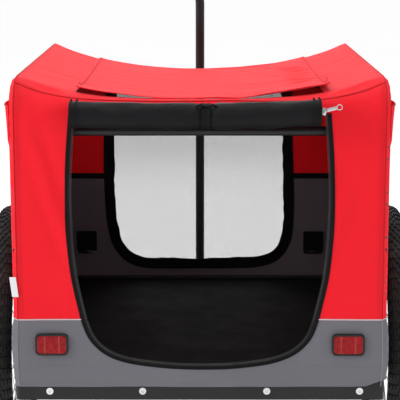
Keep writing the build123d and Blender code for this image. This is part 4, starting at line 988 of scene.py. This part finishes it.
# ------------------------------------------------------------------ seams, trim and door
def seams():
    """Sewn edges: a cord in each seam and the rows of stitches beside it."""
    def along(place, line, lift=0.0002, step=0.009):
        return [lay(place, u, v, lift) for u, v in walk(line, step, False)]

    for start, tag in ((ROOF_START, "rear"), (ROOF_END, "front")):
        line = [(-EDGE_U, start), (EDGE_U, start)]
        # The cord's darker red is painted shade in the seam's crease.
        settle(tube(tag + "_roof_seam", along(drawn_cloth, line), 0.0009, RED_SEAM_PAINTED_SHADE))
        step = 0.004 if tag == "rear" else -0.004
        sewn = [(-EDGE_U + 0.004, start + step), (EDGE_U - 0.004, start + step)]
        settle(stitches(tag + "_roof_stitches", sewn, RED_THREAD, drawn_cloth))
    def cord(name, place, line, radius, material, lift=0.0002):
        settle(tube(name, along(place, line, lift), radius, material))

    for side, tag in ((-1, "left"), (1, "right")):
        u = side * EDGE_U
        full = [(u, SEAM_REAR), (u, PATH - SEAM_FRONT)]
        # The cords' darker red is painted shade in the seams' creases.
        cord(tag + "_wall_seam", drawn_cloth, full, 0.0009, RED_SEAM_PAINTED_SHADE)
        for i, inset in enumerate((0.0045, 0.0085)):
            rows = [(u - side * inset, SEAM_REAR + 0.004), (u - side * inset, ROOF_START - 0.004)]
            settle(stitches(f"{tag}_wall_stitches_{i}", rows, RED_THREAD, drawn_cloth))
        low = [(u, HEM + 0.002), (u, SEAM_REAR)]
        cord(tag + "_skirt_seam", drawn_cloth, low, 0.0008, GREY_THREAD)
        low = [(u, HEM + 0.002), (u, SEAM_FRONT)]
        cord(tag + "_front_skirt_seam", front_cloth, low, 0.0008, GREY_THREAD)
        side_place, reach = side_cloth(side), side_outline()[1]
        rise = [(-reach, SEAM_REAR), (reach, SEAM_FRONT)]
        cord(tag + "_pale_seam", side_place, rise, 0.0011, PALE_SEAM, 0.0003)
        span = [(u, SEAM_REAR), (side * (DOOR_SEAM + 0.001), SEAM_REAR)]
        cord(tag + "_rear_pale_seam", drawn_cloth, span, 0.0012, PALE_SEAM, 0.0003)
        span = [(u, SEAM_FRONT), (side * 0.204, SEAM_FRONT)]
        cord(tag + "_front_pale_seam", front_cloth, span, 0.0011, PALE_SEAM, 0.0003)
        for name, line, place in (
                ("_skirt_row", [(side * (EDGE_U - 0.004), 0.2925), (side * 0.172, 0.2925)], drawn_cloth),
                ("_side_hem_row", [(-reach + 0.003, HEM + 0.014), (reach - 0.003, HEM + 0.008)], side_place)):
            settle(stitches(tag + name, line, GREY_THREAD, place))
    hem = [(mix(-EDGE_U, EDGE_U, i / 30), hem_at(mix(-EDGE_U, EDGE_U, i / 30)) + 0.006) for i in range(31)]
    settle(stitches("rear_hem_row", hem, GREY_THREAD, drawn_cloth))
    hem = [(-EDGE_U, HEM + 0.008), (EDGE_U, HEM + 0.008)]
    settle(stitches("front_hem_row", hem, GREY_THREAD, front_cloth))


def doorway():
    """Zip tape and coil round the doorway, with a bound edge."""
    settle(ribbon("zip_tape", DOOR_LINE, TAPE, drawn_cloth, -0.0062, 0.0015, -0.0002, 0.0012, step=0.007),
           ["rear_zip"])
    settle(ribbon("door_binding", DOOR_LINE, BINDING, drawn_cloth, -0.0008, 0.0022, 0.0011, 0.0024,
                  step=0.007))
    line = walk(DOOR_LINE, 0.0032, False)
    verts, faces = [], []
    for a, b in zip(line, line[1:]):
        size = math.dist(a, b)
        du, dv = (b[0] - a[0]) / size, (b[1] - a[1]) / size
        base = len(verts)
        for lift in (0.0001, 0.0019):
            for off, along in ((-0.0088, 0.0004), (-0.0048, 0.0004), (-0.0048, 0.0022), (-0.0088, 0.0022)):
                shrink = 0.0004 if lift > 0.001 else 0.0
                along = mix(along, 0.0013, shrink / 0.0013)
                u, v = a[0] + du * along + dv * off, a[1] + dv * along - du * off
                verts.append(lay(drawn_cloth, u, v, lift))
        faces += [(base, base + 1, base + 2, base + 3), (base + 4, base + 7, base + 6, base + 5)]
        faces += [(base + i, base + 4 + i, base + 4 + (i + 1) % 4, base + (i + 1) % 4) for i in range(4)]
    coil = make("zip_coil", verts, faces, COIL)
    mend(coil)
    settle(coil)


ROLL_ENDS = (-0.2113, 0.1960)
ROLL_STRAP = 0.009


def roll_size(x):
    """How far the roll is pinched at x, and how far its middle line stands above its node's."""
    pinch = 1 - 0.24 * math.exp(-((x - ROLL_STRAP) / 0.013) ** 2)
    share = (2 * x - sum(ROLL_ENDS)) / (ROLL_ENDS[1] - ROLL_ENDS[0])
    return pinch, 0.0005 + 0.0048 * share ** 2 * (1.35 if share > 0 else 0.75)


def door_roll():
    """The rear door rolled up: one long sheet wound on itself, sagging, and pinched by its strap."""
    left, right = ROLL_ENDS
    half = (right - left) / 2
    centre = (ROLL[0] + ROLL[1]) / 2
    outer = 0.0232
    core, turns, per_turn, stations = 0.0055, 4.6, 18, 72
    verts, uvs, faces = [], [], []
    count = int(turns * per_turn) + 1
    for i in range(stations + 1):
        x = mix(left, right, i / stations)
        pinch, sag = roll_size(x)
        swell = 1 + 0.035 * noise.noise(Vector((x * 14, 2.0, 0.0)))
        length = 0.0
        for k in range(count):
            angle = 2 * math.pi * k / per_turn + 1.9
            radius = mix(core, outer, k / (count - 1))
            length += 2 * math.pi * radius / per_turn
            depth = smooth((radius - 0.012) / 0.011)
            fold = 0.0017 * noise.noise(
                Vector((x * 22, math.cos(angle) * 2.6, math.sin(angle) * 2.6 + radius * 60)))
            gather = 0.0013 * math.sin(angle * 9 + 1.3 + x * 40) * math.exp(-((x - ROLL_STRAP) / 0.040) ** 2)
            r = radius * mix(1.0, pinch, depth) * mix(1.0, swell, depth) + (fold + gather) * depth
            skew = 0.0035 * noise.noise(Vector((radius * 90, 4.0, 0.0))) * (1 if x > 0 else -1)
            shift = skew * smooth((abs(x) / half - 0.8) / 0.2)
            verts.append((x + shift, centre.y + r * math.cos(angle), centre.z + sag + r * math.sin(angle)))
            uvs.append((x, length))
    for i in range(stations):
        for k in range(count - 1):
            a = i * count + k
            faces.append((a, a + 1, a + count + 1, a + count))
    roll = make("rolled_door", verts, faces, BLACK, uvs)
    axis_out = sum(p.area * ((p.center.y - centre.y) * p.normal.y + (p.center.z - centre.z) * p.normal.z)
                   for p in roll.data.polygons)
    if axis_out < 0:
        roll.data.flip_normals()
    apply(roll, "SOLIDIFY", thickness=0.0014, offset=-1.0)
    shade(roll, 60)
    fix(roll, "crossbars", "black_cloth", "door_roll")

    def band(name, x, wide, grow, material, thick=0.0014):
        verts, faces, uvs = [], [], []
        n = 40
        for j in range(4):
            px = x + mix(-wide / 2, wide / 2, j / 3)
            pinch, sag = roll_size(px)
            for k in range(n):
                a = 2 * math.pi * k / n
                r = outer * pinch + grow
                verts.append((px, centre.y + r * math.cos(a), centre.z + sag + r * math.sin(a)))
                uvs.append((px, k / n * 2 * math.pi * outer))
        for j in range(3):
            for k in range(n):
                m = (k + 1) % n
                faces.append((j * n + k, j * n + m, (j + 1) * n + m, (j + 1) * n + k))
        obj = make(name, verts, faces, material, uvs)
        face_out(obj, Vector((x, centre.y, centre.z)))
        apply(obj, "SOLIDIFY", thickness=thick, offset=1.0)
        shade(obj, 50)
        fix(obj, "crossbars", "black_cloth")

    band("roll_strap", ROLL_STRAP, 0.015, 0.0012, BINDING, 0.0012)
    pinch, sag = roll_size(ROLL_STRAP)
    bow = [(-0.015, 0.0010), (-0.008, 0.0035), (-0.002, 0.0005), (0.005, 0.0005), (0.011, 0.0035),
           (0.018, -0.0005)]
    reach, lean = outer * pinch + 0.0035, math.radians(52)
    knot = [(ROLL_STRAP + x, centre.y - (reach + rise) * math.cos(lean),
             centre.z + sag + (reach + rise) * math.sin(lean)) for x, rise in spline(bow, 4)]
    fix(tube("roll_strap_tie", knot, 0.0021, BINDING), "crossbars", "black_cloth")
    for i, inset in enumerate((0.003, 0.012)):
        band(f"roll_left_binding_{i}", left + inset, 0.0020, 0.0004, BINDING, 0.0006)
        band(f"roll_right_binding_{i}", right - inset, 0.0020, 0.0004, BINDING, 0.0006)


def zip_slider():
    """Metal slider at the doorway's top corner, its pull lying to the right."""
    def bar(name, size, place, turn=0.0, edge=0.0006):
        deselect()
        bpy.ops.mesh.primitive_cube_add(size=1, location=(0, 0, 0))
        obj = bpy.context.object
        obj.name = name
        bpy.ops.object.mode_set(mode="EDIT")
        bpy.ops.transform.resize(value=size)
        bpy.ops.mesh.bevel(offset=edge, segments=2)
        bpy.ops.object.mode_set(mode="OBJECT")
        obj.data.transform(Matrix.Translation(place) @ Matrix.Rotation(turn, 4, "Y"))
        obj.data.materials.append(STEEL)
        shade(obj, 35)
        return obj

    x, y, z = 0.2010, ROLL[0].y + 0.030, 0.7275
    tilt = math.radians(-14)
    body = bar("slider", (0.0085, 0.0042, 0.0115), (x, y, z), math.radians(20))
    neck = bar("slider_loop", (0.0028, 0.0060, 0.0065), (x + 0.001, y - 0.002, z), math.radians(20))
    pull = bar("slider_pull", (0.0170, 0.0014, 0.0058), (x + 0.0125, y - 0.0045, z + 0.0045), tilt)
    deselect()
    bpy.ops.mesh.primitive_torus_add(location=(0, 0, 0), major_radius=0.0042, minor_radius=0.0008,
                                     major_segments=28, minor_segments=8)
    ring = bpy.context.object
    ring.name = "slider_ring"
    upright = Matrix.Rotation(math.pi / 2, 4, "X")
    ring.data.transform(Matrix.Translation((x + 0.0248, y - 0.0045, z + 0.0073)) @ upright)
    ring.data.materials.append(STEEL)
    shade(ring, 60)
    fix(join("zip_slider", [body, neck, pull, ring]), "crossbars", "steel")


def small_trim():
    """Label in the left seam, side pockets, and the reflectors' backing squares inside the front."""
    outer, inner = -EDGE_U - 0.001, -EDGE_U + 0.010
    label = [(outer, 0.413), (outer, 0.447), (inner, 0.447), (inner, 0.413)]
    tag = sheet_from("blank_label", [label], lambda u, v: drawn_cloth(u, v) + Vector(
        (-0.0095 - 0.002 * (v - 0.43) / 0.017, -0.0022, 0)), LABEL, 0.004, 0.0, 0.0005)
    settle(tag)
    for side, name in ((-1, "left"), (1, "right")):
        place = side_cloth(side)
        low, high = 0.664, 0.7345

        def rise(y, z, low=low, high=high):
            up = min(max((z - low) / (high - low), 0), 1)
            span = math.sin(math.pi * min(max((y + 0.3655) / 0.078, 0), 1)) ** 0.5
            return 0.0012 + 0.0078 * up ** 0.8 * span
        pocket = [(-0.3655, low + 0.020), (-0.3655, high), (-0.2875, high), (-0.2875, low + 0.020),
                  (-0.305, low), (-0.350, low)]
        settle(sheet_from(name + "_pocket", [pocket], place, RED, 0.006, rise, 0.0015))
        stations = [mix(-0.3655, -0.2875, i / 16) for i in range(17)]
        rim = [lay(place, y, high - 0.0005, rise(y, high)) for y in stations]
        # The rim's darker red is painted shade along the pocket's edge.
        settle(tube(name + "_pocket_edge", rim, 0.0012, RED_SEAM_PAINTED_SHADE))
        x = side * 0.249
        square = rounded(x - 0.022, x + 0.022, 0.3165, 0.3605, 0.003, 3)
        settle(sheet_from(name + "_backing", [square], front_cloth, BLACK, 0.011, -CLOTH - 0.0004, 0.0012))


# ------------------------------------------------------------------ reflectors
def reflectors(node, width, height, face, lens_stuff, finish):
    """A moulded housing with a prismatic lens set into it, on each side."""
    low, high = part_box(node)
    z = (low.z + high.z) / 2
    out = -1 if face == "rear" else 1
    place = drawn_cloth if face == "rear" else front_cloth
    for side, tag in ((-1, "left"), (1, "right")):
        x = side * ((high.x - low.x) / 2 - width / 2)
        wall = lay(place, x, z).y
        deselect()
        bpy.ops.mesh.primitive_cube_add(size=1, location=(0, 0, 0))
        housing = bpy.context.object
        housing.name = f"{tag}_{face}_reflector_housing"
        depth = 0.0078
        bpy.ops.object.mode_set(mode="EDIT")
        bpy.ops.transform.resize(value=(width, depth, height))
        bpy.ops.mesh.select_all(action="DESELECT")
        mesh = bmesh.from_edit_mesh(housing.data)
        for edge in mesh.edges:
            edge.select = abs(edge.verts[0].co.y - edge.verts[1].co.y) > depth / 2
        bmesh.update_edit_mesh(housing.data)
        bpy.ops.mesh.bevel(offset=0.0075, segments=6)
        bpy.ops.mesh.select_all(action="DESELECT")
        mesh = bmesh.from_edit_mesh(housing.data)
        mesh.select_mode = {"FACE"}
        for f in mesh.faces:
            f.select = f.normal.y * out > 0.9
        bmesh.update_edit_mesh(housing.data)
        bpy.ops.mesh.inset(thickness=0.0030)
        bpy.ops.mesh.inset(thickness=0.0006)
        bpy.ops.transform.translate(value=(0, -out * 0.0022, 0))
        bpy.ops.object.mode_set(mode="OBJECT")
        apply(housing, "BEVEL", width=0.0008, segments=2, limit_method="ANGLE", angle_limit=math.radians(50))
        housing.data.transform(Matrix.Translation((x, wall + out * depth * 0.42, z)))
        housing.data.materials.append(PLASTIC)
        shade(housing, 35)
        fix(housing, "chassis", "black_plastic", node)

        columns, rows = 30, round(30 * (height - 0.0072) / (width - 0.0072))
        deselect()
        bpy.ops.mesh.primitive_grid_add(x_subdivisions=columns, y_subdivisions=rows, size=1,
                                        location=(0, 0, 0))
        lens = bpy.context.object
        lens.name = f"{tag}_{face}_reflector_lens"
        w, h = width - 0.0076, height - 0.0076
        top = wall + out * depth * 0.92
        turn = Matrix.Rotation(out * -math.pi / 2, 4, "X")
        seat = Matrix.Translation((x, top - out * 0.0018, z))
        lens.data.transform(seat @ turn @ Matrix.Diagonal((w, h, 1, 1)))
        activate(lens)
        bpy.ops.object.mode_set(mode="EDIT")
        mesh = bmesh.from_edit_mesh(lens.data)
        for f in mesh.faces:
            third = (f.calc_center_median().x - x) / w
            f.select = abs(abs(third) - 0.25) > 0.012
        bmesh.update_edit_mesh(lens.data)
        bpy.ops.mesh.poke(offset=0.0007)
        bpy.ops.object.mode_set(mode="OBJECT")
        corner = 0.0055
        for v in lens.data.vertices:
            dx, dz = abs(v.co.x - x) - (w / 2 - corner), abs(v.co.z - z) - (h / 2 - corner)
            if dx > 0 and dz > 0:
                r = math.hypot(dx, dz)
                if r > corner:
                    v.co.x += (1 if v.co.x < x else -1) * dx * (1 - corner / r)
                    v.co.z += (1 if v.co.z < z else -1) * dz * (1 - corner / r)
        lens.data.materials.append(lens_stuff)
        if lens.data.polygons[0].normal.y * out < 0:
            lens.data.flip_normals()
        apply(lens, "SOLIDIFY", thickness=0.0012, offset=-1.0)
        fix(lens, "chassis", finish, node)


# ------------------------------------------------------------------ tyres
def tyres():
    """Block tread spun round the wheel, the blocks raised from every other face."""
    low, high = WHEEL["left"]
    centre = (low + high) / 2
    outer, wide = (high.z - low.z) / 2, (high.x - low.x) / 2
    base = outer - 0.0032
    profile = [(-0.0125, outer - 0.0445), (-0.0165, outer - 0.0400), (-0.0205, outer - 0.0340),
               (-wide, outer - 0.0235), (-0.0222, outer - 0.0150), (-0.0192, outer - 0.0088),
               (-0.0152, base - 0.0027),
               (-0.0102, base - 0.0009), (-0.0051, base), (0, base)]
    profile += [(-a, r) for a, r in profile[-2::-1]]
    inner = [(a * 0.80, r - 0.0030 - 0.0012 * (abs(a) < 0.015)) for a, r in profile[::-1][1:-1]]
    ring = profile + inner
    verts = [(centre.x + a, centre.y, centre.z + r) for a, r in ring]
    edges = [(i, (i + 1) % len(ring)) for i in range(len(ring))]
    tyre = make("left_tyre", verts, [], TREAD, edges=edges)
    activate(tyre)
    bpy.ops.object.mode_set(mode="EDIT")
    bpy.ops.mesh.select_all(action="SELECT")
    bpy.ops.mesh.spin(steps=150, angle=2 * math.pi, center=tuple(centre), axis=(1, 0, 0))
    bpy.ops.mesh.select_all(action="SELECT")
    bpy.ops.mesh.remove_doubles(threshold=0.00001)
    bpy.ops.mesh.normals_make_consistent(inside=False)
    bpy.ops.mesh.select_all(action="DESELECT")
    bpy.ops.mesh.select_mode(type="FACE")
    mesh = bmesh.from_edit_mesh(tyre.data)
    step = 2 * math.pi / 150
    for f in mesh.faces:
        c = f.calc_center_median() - centre
        r = math.hypot(c.y, c.z)
        if r < outer - 0.0150 or r - base > 0.001 or f.normal.dot(Vector((c.x * 3, c.y, c.z))) < 0:
            continue
        column = sum(c.x > a for a, _ in profile)
        turn = int((math.atan2(c.z, c.y) % (2 * math.pi)) / step)
        f.select = (turn + column) % 2 == 0
    bmesh.update_edit_mesh(tyre.data)
    bpy.ops.mesh.inset(thickness=0.0006, use_individual=True)
    bpy.ops.mesh.extrude_region_move()
    bpy.ops.transform.shrink_fatten(value=0.0030)
    bpy.ops.object.mode_set(mode="OBJECT")
    mend(tyre)
    shade(tyre, 35)
    other = tyre.copy()
    other.data = tyre.data.copy()
    other.name = "right_tyre"
    scene.collection.objects.link(other)
    shift = (WHEEL["right"][0] + WHEEL["right"][1]) / 2 - centre
    other.data.transform(Matrix.Translation(shift))
    fix(tyre, "wheel_left", "tyre", "tyre_left")
    fix(other, "wheel_right", "tyre", "tyre_right")


# ------------------------------------------------------------------ finishes of the frame's own nodes
FINISH = {
    "frame_paint": PAINT, "black_plastic": PLASTIC, "board": BOARD, "mat": MAT, "steel": STEEL,
    "alloy": ALLOY, "rubber": RUBBER, "tyre": TREAD, "red_cloth": RED, "grey_cloth": GREY,
    "black_cloth": BLACK, "mesh": NET, "zip_tape": TAPE, "reflector_red": LENS_RED,
    "reflector_front": LENS_CLEAR,
}


def finish_nodes():
    for part in frame["record"]["subparts"]:
        obj = NODES[part["node"]]
        for place in obj.material_slots:
            place.material = FINISH[part["material_slot"]]


rear_panels()
side_panels()
front_panels()
roof_panels()
seams()
doorway()
door_roll()
zip_slider()
small_trim()
reflectors("reflectors_rear", 0.055, 0.037, "rear", LENS_RED, "reflector_red")
reflectors("reflectors_front", 0.044, 0.044, "front", LENS_CLEAR, "reflector_front")
tyres()
finish_nodes()
